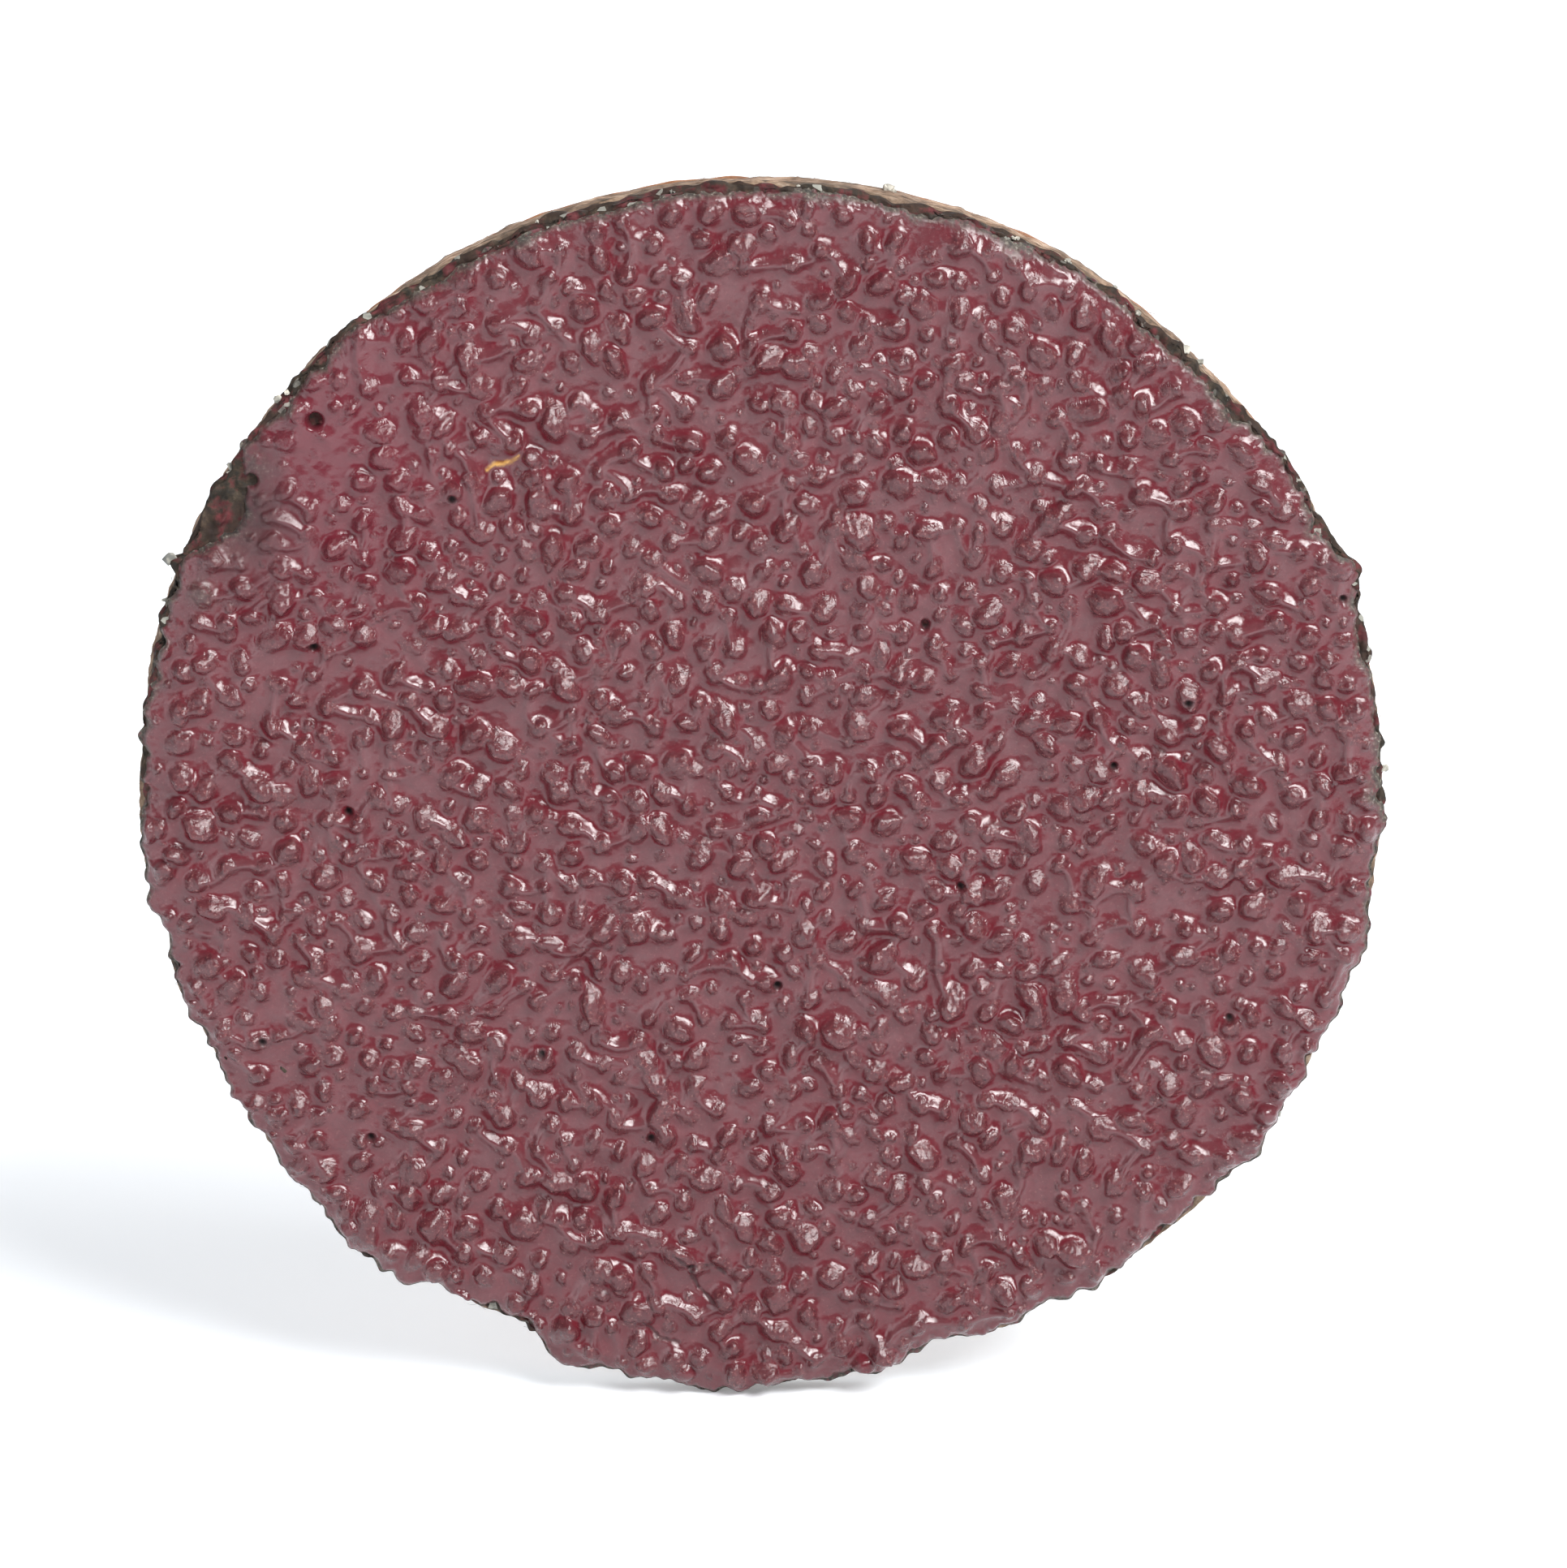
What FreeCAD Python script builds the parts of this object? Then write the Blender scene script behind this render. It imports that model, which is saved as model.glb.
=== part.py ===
import FreeCAD, Part
import heapq
import math
import os
import random
from FreeCAD import Vector as V

# Quick-change coated abrasive disc, 50.8 mm (2 in), coarse grit on vulcanised fibre,
# with a moulded threaded stud bonded to the back.
#
# Frame: millimetres, +Z up, the spin axis lies along Y.  The abrasive face looks
# towards -Y and the stud points towards +Y.  The origin is on the axis, in the plane
# of the stud flange's rear face, which is the seat that the holder pulls against.
# Angles in the disc's plane run from +X (0 degrees) towards +Z (90 degrees).

# ---------------------------------------------------------------- driving dimensions
DISC_R = 25.4            # nominal radius of the converted disc
FIBRE_R = 25.40          # radius of the fibre backing, die cut with the coat

FLANGE_R = 8.75          # stud flange
FLANGE_T = 1.20          # at the collar
FLANGE_RIM_T = 0.50      # at the rim
SEAT_R = 7.20            # outer radius of the flange's flat rear seat
COLLAR_R = 5.20          # plain locating collar at the root of the stud
COLLAR_L = 1.40
CORE_R = 3.95            # threaded stud: root radius
CREST_R = 4.75           # threaded stud: crest radius
STUD_L = 6.40            # seat plane to stud tip
THREAD_LEAD = 3.60       # one start
CORE_HOLE_R = 1.60       # blind coring hole in the tip
CORE_HOLE_L = 4.20

BOND_T = 0.12            # adhesive film under the flange
BEAD_R = 9.45            # outer radius of the squeezed-out bead
BEAD_H = 0.42
FILM_T = 0.06            # back-size film on the rear of the fibre
PLY_T = 0.40             # one of three fused fibre plies
MAKE_T = 0.48            # make coat
POOL_T = 0.42            # size coat, measured between the grains

COARSE_N = 1180          # coarse grains asked for
COARSE_R = (0.30, 0.52)  # footprint circumradius
COARSE_H = (0.58, 0.92)  # height above the make coat
FINE_N = 520
FINE_R = (0.16, 0.24)
FINE_H = (0.46, 0.56)
GRAIN_GAP = 0.05
EDGE_STEPS = 288         # points round each torn outline
SEAMS = [-21.0 + 4.2 * k for k in range(11)]   # where the size coat's faces meet, along X

# Torn edge of the abrasive coat: (angle, half width in degrees, radial change in mm).
# Negative is a chip into the disc, positive is a lump that stands proud.
EDGE_EVENTS = [
    (21.5, 2.2, 0.55), (27.0, 2.0, -0.10), (45.0, 9.0, -0.24), (131.0, 2.0, 0.12),
    (157.5, 1.4, 0.22), (173.5, 4.0, -0.16), (194.0, 1.6, -0.32), (206.0, 3.4, -0.24),
    (214.0, 1.5, -0.26), (231.5, 4.2, 0.46), (239.0, 2.2, -0.42), (245.5, 2.6, -0.42),
    (251.5, 2.2, 0.56), (257.5, 1.4, 0.30), (266.0, 6.5, 0.36), (275.5, 1.4, 0.18),
    (278.0, 1.0, -0.22), (288.0, 3.4, -1.00), (299.0, 3.2, -0.46), (319.3, 1.0, -0.40),
    (324.5, 2.4, 0.18), (330.5, 1.6, 0.20), (346.0, 2.6, 0.22), (357.5, 1.8, 0.22),
]
# Places where the size coat stops short of the edge and the make coat shows.
BARE_EVENTS = [(151.5, 3.6, 1.15), (139.5, 1.6, 0.28), (92.0, 26.0, 0.16),
               (48.0, 10.0, 0.22), (244.0, 3.0, 0.35), (5.0, 5.0, 0.12),
               (312.0, 3.5, 0.25)]

# ---------------------------------------------------------------- derived planes (y)
Y_FLANGE = -FLANGE_T
Y_BOND = Y_FLANGE - BOND_T
Y_FILM = Y_BOND - FILM_T
Y_PLY1 = Y_FILM - PLY_T
Y_PLY2 = Y_PLY1 - PLY_T
Y_PLY3 = Y_PLY2 - PLY_T
Y_MAKE = Y_PLY3 - MAKE_T
Y_POOL = Y_MAKE - POOL_T

rng = random.Random(2024)
os.makedirs("parts", exist_ok=True)


def save(shape, name):
    shape.exportStep("parts/%s.step" % name)
    print("%-22s solids %5d  volume %9.3f  valid %s" % (
        name, len(shape.Solids), sum(s.Volume for s in shape.Solids), shape.isValid()))


# ---------------------------------------------------------------- outlines
def ring_noise(seed, steps):
    """A closed value noise with `steps` knots, read at any angle in degrees."""
    r = random.Random(seed)
    knots = [r.uniform(-1, 1) for _ in range(steps)]

    def at(deg):
        t = (deg % 360.0) / 360.0 * steps
        i = int(t)
        f = t - i
        f = f * f * (3 - 2 * f)
        return knots[i % steps] * (1 - f) + knots[(i + 1) % steps] * f
    return at


def events(table, deg):
    total = 0.0
    for centre, half, change in table:
        d = abs((deg - centre + 180.0) % 360.0 - 180.0) / half
        if d < 2.0:
            total += change * 0.5 * (1 + math.cos(math.pi * d / 2.0))
    return total


broad, small, fine = ring_noise(11, 46), ring_noise(12, 110), ring_noise(13, 240)
bare_noise = ring_noise(14, 80)
ply_noise = [ring_noise(20 + k, 200) for k in range(4)]


def coat_r(deg):
    """Outline of the make coat.  The cut is cleaner over the top of the disc."""
    rough = 0.55 if 55 < deg % 360 < 128 else 1.0
    return (DISC_R + events(EDGE_EVENTS, deg) - (0.06 if rough < 1 else 0.0)
            + rough * (0.09 * broad(deg) + 0.09 * small(deg) + 0.05 * fine(deg)))


def size_r(deg):
    """Outline of the size coat, which stops short of the make coat in places."""
    return coat_r(deg) - max(0.0, events(BARE_EVENTS, deg)) * (1 + 0.35 * bare_noise(deg))


def fibre_r(deg, k):
    """Outline of one fibre layer.  It is die cut with the coat, so it has the same chips."""
    bite = 0.95 * min(0.0, events(EDGE_EVENTS, deg))
    return FIBRE_R - 0.02 + bite + 0.035 * ply_noise[k](deg)


def outline(radius, y):
    pts = []
    for i in range(EDGE_STEPS):
        deg = 360.0 * i / EDGE_STEPS
        r, a = radius(deg), math.radians(deg)
        pts.append(V(r * math.cos(a), y, r * math.sin(a)))
    return pts


def closed(pts):
    return Part.makePolygon(list(pts) + [pts[0]])


def plate(radius, y_rear, thickness):
    """A plate with a torn outline, from y_rear towards the abrasive side."""
    return Part.Face(closed(outline(radius, y_rear))).extrude(V(0, -thickness, 0))


def revolve(profile):
    """A solid turned about Y from (radius, y) points."""
    pts = [V(r, y, 0) for r, y in profile]
    return Part.Face(closed(pts)).revolve(V(0, 0, 0), V(0, 1, 0), 360)


def solid_from(points, rows):
    """A closed solid from planar faces that share their edges.

    A row is a list of point-index loops: the outer loop wound anticlockwise seen
    from outside the material, then any holes wound the other way.
    """
    corner = [Part.Vertex(p) for p in points]
    made, faces = {}, []

    def edge(i, j):
        key = (min(i, j), max(i, j))
        if key not in made:
            made[key] = Part.Edge(corner[key[0]], corner[key[1]])
        return made[key] if i < j else made[key].reversed()

    def wire(loop):
        return Part.Wire([edge(loop[k], loop[(k + 1) % len(loop)]) for k in range(len(loop))])

    for loops in rows:
        face = Part.Face(wire(loops[0]))
        if len(loops) > 1:
            whole, holes = face.Area, [wire(l) for l in loops[1:]]
            face = Part.Face([wire(loops[0])] + holes)
            if face.Area > whole:
                face = Part.Face([wire(loops[0])] + [h.reversed() for h in holes])
        out = V(0, 0, 0)
        for k in range(len(loops[0])):
            out = out + points[loops[0][k]].cross(points[loops[0][(k + 1) % len(loops[0])]])
        if face.normalAt(0, 0).dot(out) < 0:
            face.reverse()
        faces.append(face)
    return Part.Solid(Part.Shell(faces))


# ---------------------------------------------------------------- stud and its bond
def make_stud():
    body = revolve([
        (0, Y_FLANGE), (FLANGE_R, Y_FLANGE), (FLANGE_R, Y_FLANGE + FLANGE_RIM_T - 0.12),
        (FLANGE_R - 0.15, Y_FLANGE + FLANGE_RIM_T), (SEAT_R, 0), (COLLAR_R, 0),
        (COLLAR_R, COLLAR_L - 0.25), (COLLAR_R - 0.25, COLLAR_L), (CORE_R, COLLAR_L),
        (CORE_R, STUD_L - 0.30), (CORE_R - 0.30, STUD_L), (0, STUD_L)])
    # One-start trapezoid thread, swept about Z and turned on to Y.
    turns_from, turns_to = COLLAR_L - 1.1, STUD_L + 0.9
    length = turns_to - turns_from
    helix = Part.makeHelix(THREAD_LEAD, length, CORE_R)
    half_root, half_crest, sink = 0.95, 0.48, 0.18
    profile = closed([V(CORE_R - sink, 0, -half_root), V(CREST_R, 0, -half_crest),
                      V(CREST_R, 0, half_crest), V(CORE_R - sink, 0, half_root)])
    rib = Part.Wire(helix.Edges).makePipeShell([profile], True, True)
    rib.rotate(V(0, 0, 0), V(1, 0, 0), -90)
    rib.translate(V(0, turns_from, 0))
    # Keep the thread between the collar and a tapered lead-in at the tip.
    keep = revolve([(0, COLLAR_L - 0.05), (CREST_R, COLLAR_L - 0.05), (CREST_R, STUD_L - 1.15),
                    (CORE_R + 0.02, STUD_L - 0.30), (0, STUD_L - 0.30)])
    stud = body.fuse(rib.common(keep))
    hole = revolve([(0, STUD_L + 1), (CORE_HOLE_R, STUD_L + 1),
                    (CORE_HOLE_R, STUD_L - CORE_HOLE_L + 0.5), (CORE_HOLE_R - 0.5, STUD_L - CORE_HOLE_L),
                    (0, STUD_L - CORE_HOLE_L)])
    stud = stud.cut(hole)
    return Part.makeCompound(stud.Solids)


def make_bond():
    return revolve([
        (0, Y_BOND), (BEAD_R, Y_BOND), (BEAD_R - 0.04, Y_BOND + 0.14),
        (BEAD_R - 0.20, Y_BOND + 0.30), (BEAD_R - 0.45, Y_BOND + BEAD_H - 0.03),
        (FLANGE_R, Y_BOND + BEAD_H), (FLANGE_R, Y_FLANGE), (0, Y_FLANGE)])


# ---------------------------------------------------------------- grain
def place_grains():
    """Footprint circles that never overlap: (x, z, radius, kind)."""
    cell, grid, placed = 1.2, {}, []

    def clear(x, z, r):
        i, j = int(x // cell), int(z // cell)
        for a in (i - 1, i, i + 1):
            for b in (j - 1, j, j + 1):
                for (px, pz, pr, _) in grid.get((a, b), ()):
                    if math.hypot(x - px, z - pz) < r + pr + GRAIN_GAP:
                        return False
        return True

    for count, (lo, hi), kind, tries in ((COARSE_N, COARSE_R, "coarse", 90000),
                                         (FINE_N, FINE_R, "fine", 60000)):
        made = 0
        for n in range(tries):
            if made >= count:
                break
            # the largest footprints go in first
            share = max(made / count, 0.0)
            r = hi - (hi - lo) * (share ** 1.3) * rng.uniform(0.75, 1.0)
            rad, ang = DISC_R * math.sqrt(rng.random()), rng.uniform(0, 360)
            if rad > size_r(ang) - r - 0.16:
                continue
            x, z = rad * math.cos(math.radians(ang)), rad * math.sin(math.radians(ang))
            # a starved patch near the upper left of the face, where resin pooled
            if kind == "coarse" and math.hypot((x + 17.3) / 1.5, (z - 14.6) / 2.3) < 1.0:
                continue
            if clear(x, z, r):
                placed.append((x, z, r, kind))
                grid.setdefault((int(x // cell), int(z // cell)), []).append(placed[-1])
                made += 1
    return placed


def grain_rings(x, z, r, kind):
    """The footprint polygon on the make coat and the smaller polygon at the tip."""
    n = rng.choice((4, 5, 5, 6)) if kind == "coarse" else 4
    turn = rng.uniform(0, 360)
    foot = []
    for k in range(n):
        a = math.radians(turn + 360.0 * (k + rng.uniform(-0.16, 0.16)) / n)
        q = r * rng.uniform(0.80, 1.0)
        foot.append((q * math.cos(a), q * math.sin(a)))
    lo, hi = COARSE_H if kind == "coarse" else FINE_H
    size = (r - COARSE_R[0]) / (COARSE_R[1] - COARSE_R[0]) if kind == "coarse" else rng.random()
    height = lo + (hi - lo) * min(1.0, max(0.0, 0.55 * size + 0.45 * rng.random()))
    return foot, height, rng.uniform(0.38, 0.58)


def ring_at(x, z, foot, height, top, h):
    """The grain's section at height h above the make coat."""
    k = 1 - (1 - top) * h / height
    return [V(x + px * k, Y_MAKE - h, z + pz * k) for px, pz in foot]


def walls(low, high):
    """The side faces between two loops of point indices, facing outwards."""
    n = len(low)
    return [[[low[i], low[(i + 1) % n], high[(i + 1) % n], high[i]]] for i in range(n)]


def frustum(x, z, foot, height, top):
    n = len(foot)
    points = ring_at(x, z, foot, height, top, 0) + ring_at(x, z, foot, height, top, height)
    low, high = list(range(n)), list(range(n, 2 * n))
    return solid_from(points, [[low[::-1]], [high]] + walls(low, high))


def gap_path(start, end, band, discs):
    """The way from start to end through the gaps between the grain footprints."""
    step, gap = 0.08, 0.025
    cols = int((band[1] - band[0]) / step)

    def spot(i, j):
        return band[0] + i * step, start[1] + j * step

    def clear(p, q):
        dx, dz = q[0] - p[0], q[1] - p[1]
        span = dx * dx + dz * dz
        for x, z, r in discs:
            t = 0.0 if span == 0 else min(1.0, max(0.0, ((x - p[0]) * dx + (z - p[1]) * dz) / span))
            if math.hypot(p[0] + t * dx - x, p[1] + t * dz - z) < r + gap:
                return False
        return True

    shut = set()
    for x, z, r in discs:
        reach = r + gap + 0.012
        for i in range(int((x - reach - band[0]) / step), int((x + reach - band[0]) / step) + 2):
            for j in range(int((z - reach - start[1]) / step) - 1, int((z + reach - start[1]) / step) + 2):
                px, pz = spot(i, j)
                if math.hypot(px - x, pz - z) < reach:
                    shut.add((i, j))
    rows = int(round((end[1] - start[1]) / step))
    for i in range(cols + 1):                   # keep off the rim as well
        for j in range(rows + 1):
            px, pz = spot(i, j)
            if math.hypot(px, pz) > size_r(math.degrees(math.atan2(pz, px)) % 360.0) - 0.10:
                shut.add((i, j))
    first = (int(round((start[0] - band[0]) / step)), 1)
    last = (int(round((end[0] - band[0]) / step)), rows - 1)
    for a, b in (first, last):
        shut -= {(a + d, b + e) for d in (-1, 0, 1) for e in (-1, 0, 1)
                 if all(math.hypot(spot(a + d, b + e)[0] - x, spot(a + d, b + e)[1] - z) > r + gap
                        for x, z, r in discs)}
    queue, seen = [(0.0, first, None)], {}
    while queue:
        cost, at, came = heapq.heappop(queue)
        if at in seen:
            continue
        seen[at] = came
        if at == last:
            break
        for di in (-1, 0, 1):
            for dj in (-1, 0, 1):
                to = (at[0] + di, at[1] + dj)
                if to in seen or to in shut or not 0 <= to[0] <= cols or not 1 <= to[1] < rows:
                    continue
                heapq.heappush(queue, (cost + math.hypot(di, dj), to, at))
    path, at = [], last
    while at is not None:
        path.append(spot(*at))
        at = seen[at]
    path = [start] + path[::-1] + [end]
    kept, i = [path[0]], 0
    while i < len(path) - 1:
        j = min(len(path) - 1, i + 30)
        while j > i + 1 and not clear(path[i], path[j]):
            j -= 1
        kept.append(path[j])
        i = j
    return kept[1:-1]


def inside(x, z, loop):
    hit = False
    for k in range(len(loop)):
        (ax, az), (bx, bz) = loop[k - 1], loop[k]
        if (az > z) != (bz > z) and x < ax + (bx - ax) * (z - az) / (bz - az):
            hit = not hit
    return hit


def make_size_coat(grains):
    """The size coat fills the space between the grains, so each grain has its own pocket.

    Its two broad faces are kept as strips that meet along lines in the gaps between
    the grains, which keeps every face small.
    """
    n = EDGE_STEPS
    rear_rim, front_rim = outline(size_r, Y_MAKE), outline(size_r, Y_POOL)
    rim = [(p.x, p.z) for p in front_rim]
    discs = [(g[0], g[1], max(math.hypot(px, pz) for px, pz in g[2])) for g in grains]
    seams = []
    for c in SEAMS:
        near = [d for d in discs if abs(d[0] - c) < 3.2]
        # each end is the rim corner with the most room round it
        room = lambda i: min(math.hypot(rim[i][0] - x, rim[i][1] - z) - r for x, z, r in near)
        low_end = max((i for i in range(n // 2 + 1, n) if abs(rim[i][0] - c) < 1.2), key=room)
        top_end = max((i for i in range(1, n // 2) if abs(rim[i][0] - c) < 1.2), key=room)
        seams.append((low_end, top_end,
                      gap_path(rim[low_end], rim[top_end], (c - 2.0, c + 2.0), near)))

    points, sides, faces = list(rear_rim) + list(front_rim), [], []
    low, high = list(range(n)), list(range(n, 2 * n))
    sides += walls(low, high)
    inner = []                                  # the indices of each seam's inner points
    for _, _, path in seams:
        start = len(points)
        points += [V(x, Y_MAKE, z) for x, z in path] + [V(x, Y_POOL, z) for x, z in path]
        inner.append((list(range(start, start + len(path))),
                      list(range(start + len(path), start + 2 * len(path)))))

    def rim_run(a, b):
        return [k % n for k in range(a, (b if b > a else b + n) + 1)]

    strips = []
    for k in range(len(seams) + 1):
        loops = []
        for side in (0, 1):
            shift = n * side
            if k == 0:
                loop = [i + shift for i in rim_run(seams[0][1], seams[0][0])] + inner[0][side]
            elif k == len(seams):
                loop = ([i + shift for i in rim_run(seams[-1][0], seams[-1][1])]
                        + inner[-1][side][::-1])
            else:
                left, right = seams[k - 1], seams[k]
                loop = ([i + shift for i in rim_run(left[0], right[0])] + inner[k][side]
                        + [i + shift for i in rim_run(right[1], left[1])]
                        + inner[k - 1][side][::-1])
            loops.append(loop)
        plan = [(points[i].x, points[i].z) for i in loops[1]]
        strips.append(([loops[0][::-1]], [loops[1]], plan))
    for g in grains:
        a, b = ring_at(*g, 0), ring_at(*g, POOL_T)
        start, m = len(points), len(a)
        points += a + b
        low, high = list(range(start, start + m)), list(range(start + m, start + 2 * m))
        rear, front = next((r, f) for r, f, plan in strips if inside(g[0], g[1], plan))
        rear.append(low)
        front.append(high[::-1])
        sides += [[row[0][::-1]] for row in walls(low, high)]
    for rear, front, _ in strips:
        faces += [rear, front]
    return solid_from(points, faces + sides)


# ---------------------------------------------------------------- loose crumbs on the rim
CRUMBS = [  # angle, distance behind the make coat's front plane, size
    (78.3, 1.25, 0.46), (47.3, 0.55, 0.50), (45.4, 0.80, 0.36), (53.0, 0.30, 0.32),
    (61.0, 0.25, 0.28), (56.0, 0.45, 0.26), (66.0, 0.20, 0.22), (86.5, 0.15, 0.20),
    (98.0, 0.10, 0.18), (110.5, 0.20, 0.24), (139.5, 0.20, 0.42), (147.2, 0.25, 0.50),
    (157.4, 0.20, 0.66), (161.2, 0.25, 0.34), (11.6, 0.25, 0.34), (2.6, 0.15, 0.38),
    (350.0, 0.20, 0.28), (334.0, 0.25, 0.32), (327.5, 0.10, 0.30), (308.5, 0.20, 0.28),
    (297.0, 0.20, 0.26), (242.0, 0.30, 0.30), (224.0, 0.15, 0.24), (196.0, 0.20, 0.26),
]


LAYERS = [  # from, to (distance behind the make coat's front plane), outline
    (0.0, MAKE_T, coat_r),
    (MAKE_T, MAKE_T + PLY_T, lambda d: fibre_r(d, 3)),
    (MAKE_T + PLY_T, MAKE_T + 2 * PLY_T, lambda d: fibre_r(d, 2)),
    (MAKE_T + 2 * PLY_T, MAKE_T + 3 * PLY_T, lambda d: fibre_r(d, 1)),
]


def chord(radius, deg):
    """Radius of a torn outline's straight run at an angle between two of its corners."""
    step = 360.0 / EDGE_STEPS
    a0 = math.floor(deg / step) * step
    r0, r1 = radius(a0), radius(a0 + step)
    x, y = math.radians(deg - a0), math.radians(a0 + step - deg)
    return r0 * r1 * math.sin(x + y) / (r0 * math.sin(x) + r1 * math.sin(y))


def contact_radius(deg, depth, size):
    """Where a chip's pointed inner end meets the cut edge."""
    best = 0.0
    for low, high, radius in LAYERS:
        gap = max(low - depth, depth - high, 0.0)
        if gap > size * 0.5:
            continue
        for i in range(-8, 9):
            t = i / 16.0 * size
            best = max(best, chord(radius, deg + math.degrees(t / DISC_R)) - abs(t) - gap)
    return best


def crumb(deg, depth, size):
    """A little eight-faced chip that rests against the cut edge."""
    a = math.radians(deg)
    out, side, back = V(math.cos(a), 0, math.sin(a)), V(-math.sin(a), 0, math.cos(a)), V(0, 1, 0)
    c = out * (contact_radius(deg, depth, size) + size * 0.5 + 0.002) + back * (Y_MAKE + depth)
    w = lambda: size * 0.5 * rng.uniform(0.75, 1.0)
    p = [c + out * w(), c - out * (size * 0.5), c + side * w(), c - side * w(), c + back * w(), c - back * w()]
    rows = []
    for i in (0, 1):
        for j in (2, 3):
            for k in (4, 5):
                flat = (p[j] - p[i]).cross(p[k] - p[i]).dot(p[i] - c) > 0
                rows.append([[i, j, k] if flat else [i, k, j]])
    return solid_from(p, rows)


def main():
    save(make_stud(), "quick_change_stud")
    save(make_bond(), "stud_bond_adhesive")
    save(plate(lambda d: fibre_r(d, 0), Y_BOND, FILM_T), "back_size_film")
    save(plate(lambda d: fibre_r(d, 1), Y_FILM, PLY_T), "fibre_rear_ply")
    save(plate(lambda d: fibre_r(d, 2), Y_PLY1, PLY_T), "fibre_core_ply")
    save(plate(lambda d: fibre_r(d, 3), Y_PLY2, PLY_T), "fibre_front_ply")
    save(plate(coat_r, Y_PLY3, MAKE_T), "make_coat")

    placed = place_grains()
    shaped = [((x, z) + grain_rings(x, z, r, kind), kind) for x, z, r, kind in placed]
    coarse = [g for g, kind in shaped if kind == "coarse"]
    fine_ones = [g for g, kind in shaped if kind == "fine"]
    print("grains", len(coarse), len(fine_ones))
    save(Part.makeCompound([frustum(*g) for g in coarse]), "coarse_grain")
    save(Part.makeCompound([frustum(*g) for g in fine_ones]), "fine_grain")
    save(make_size_coat(coarse + fine_ones), "size_coat")
    save(Part.makeCompound([crumb(*c) for c in CRUMBS]), "edge_crumbs")


main()
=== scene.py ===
import math

import bmesh
import bpy
import numpy as np
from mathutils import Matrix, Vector


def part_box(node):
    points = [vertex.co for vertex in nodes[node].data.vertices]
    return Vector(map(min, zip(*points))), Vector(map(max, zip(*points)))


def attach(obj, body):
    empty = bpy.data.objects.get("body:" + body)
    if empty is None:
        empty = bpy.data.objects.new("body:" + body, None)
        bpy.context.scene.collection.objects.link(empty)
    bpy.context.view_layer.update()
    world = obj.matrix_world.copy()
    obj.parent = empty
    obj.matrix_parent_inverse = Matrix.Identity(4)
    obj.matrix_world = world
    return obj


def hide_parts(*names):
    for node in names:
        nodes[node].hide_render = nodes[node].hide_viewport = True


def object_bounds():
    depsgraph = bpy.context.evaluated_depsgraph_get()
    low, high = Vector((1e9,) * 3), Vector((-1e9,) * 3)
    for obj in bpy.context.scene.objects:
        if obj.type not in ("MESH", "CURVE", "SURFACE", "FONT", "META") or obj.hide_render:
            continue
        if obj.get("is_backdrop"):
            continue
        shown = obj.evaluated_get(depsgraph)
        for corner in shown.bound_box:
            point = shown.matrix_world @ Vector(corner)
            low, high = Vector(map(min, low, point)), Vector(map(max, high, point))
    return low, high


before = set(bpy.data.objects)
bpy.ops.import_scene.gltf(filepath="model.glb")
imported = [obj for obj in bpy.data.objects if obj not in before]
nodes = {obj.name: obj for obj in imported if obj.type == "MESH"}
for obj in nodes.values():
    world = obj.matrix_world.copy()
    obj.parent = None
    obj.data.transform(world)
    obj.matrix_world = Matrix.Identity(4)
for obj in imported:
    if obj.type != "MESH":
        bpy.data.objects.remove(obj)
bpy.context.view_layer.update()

MM = 0.001

# Planes along the spin axis, in millimetres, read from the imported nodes.
lo_of = lambda n: np.array(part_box(n)[0]) * 1000.0
hi_of = lambda n: np.array(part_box(n)[1]) * 1000.0
Y_FLANGE = hi_of("stud_bond_adhesive")[1]        # top of the adhesive node along the spin axis
Y_REAR = hi_of("back_size_film")[1]              # rear face of the backing
Y_FILM = lo_of("back_size_film")[1]
Y_P1 = lo_of("fibre_rear_ply")[1]
Y_P2 = lo_of("fibre_core_ply")[1]
Y_P3 = lo_of("fibre_front_ply")[1]
Y_MAKE = lo_of("make_coat")[1]
Y_POOL = lo_of("size_coat")[1]
POOL_T = Y_MAKE - Y_POOL
STUD_L = hi_of("quick_change_stud")[1]


# ------------------------------------------------------------------ reading the CAD
def node_co(name):
    me = nodes[name].data
    co = np.empty(len(me.vertices) * 3, np.float32)
    me.vertices.foreach_get("co", co)
    return co.reshape(-1, 3).astype(np.float64) * 1000.0


def islands(name):
    """Lists of vertex numbers, one per loose part of a node (split normals are welded first)."""
    me = nodes[name].data
    co = node_co(name)
    key = np.round(co / 0.002).astype(np.int64)
    _, weld = np.unique(key, axis=0, return_inverse=True)
    weld = weld.ravel()
    parent = np.arange(weld.max() + 1)

    def find(i):
        while parent[i] != i:
            parent[i] = parent[parent[i]]
            i = parent[i]
        return i
    ed = np.empty(len(me.edges) * 2, np.int32)
    me.edges.foreach_get("vertices", ed)
    for a, b in weld[ed.reshape(-1, 2)]:
        ra, rb = find(a), find(b)
        if ra != rb:
            parent[ra] = rb
    root = np.array([find(i) for i in range(len(parent))])[weld]
    order = np.argsort(root, kind="stable")
    cuts = np.nonzero(np.diff(root[order]))[0] + 1
    return co, np.split(order, cuts)


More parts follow.
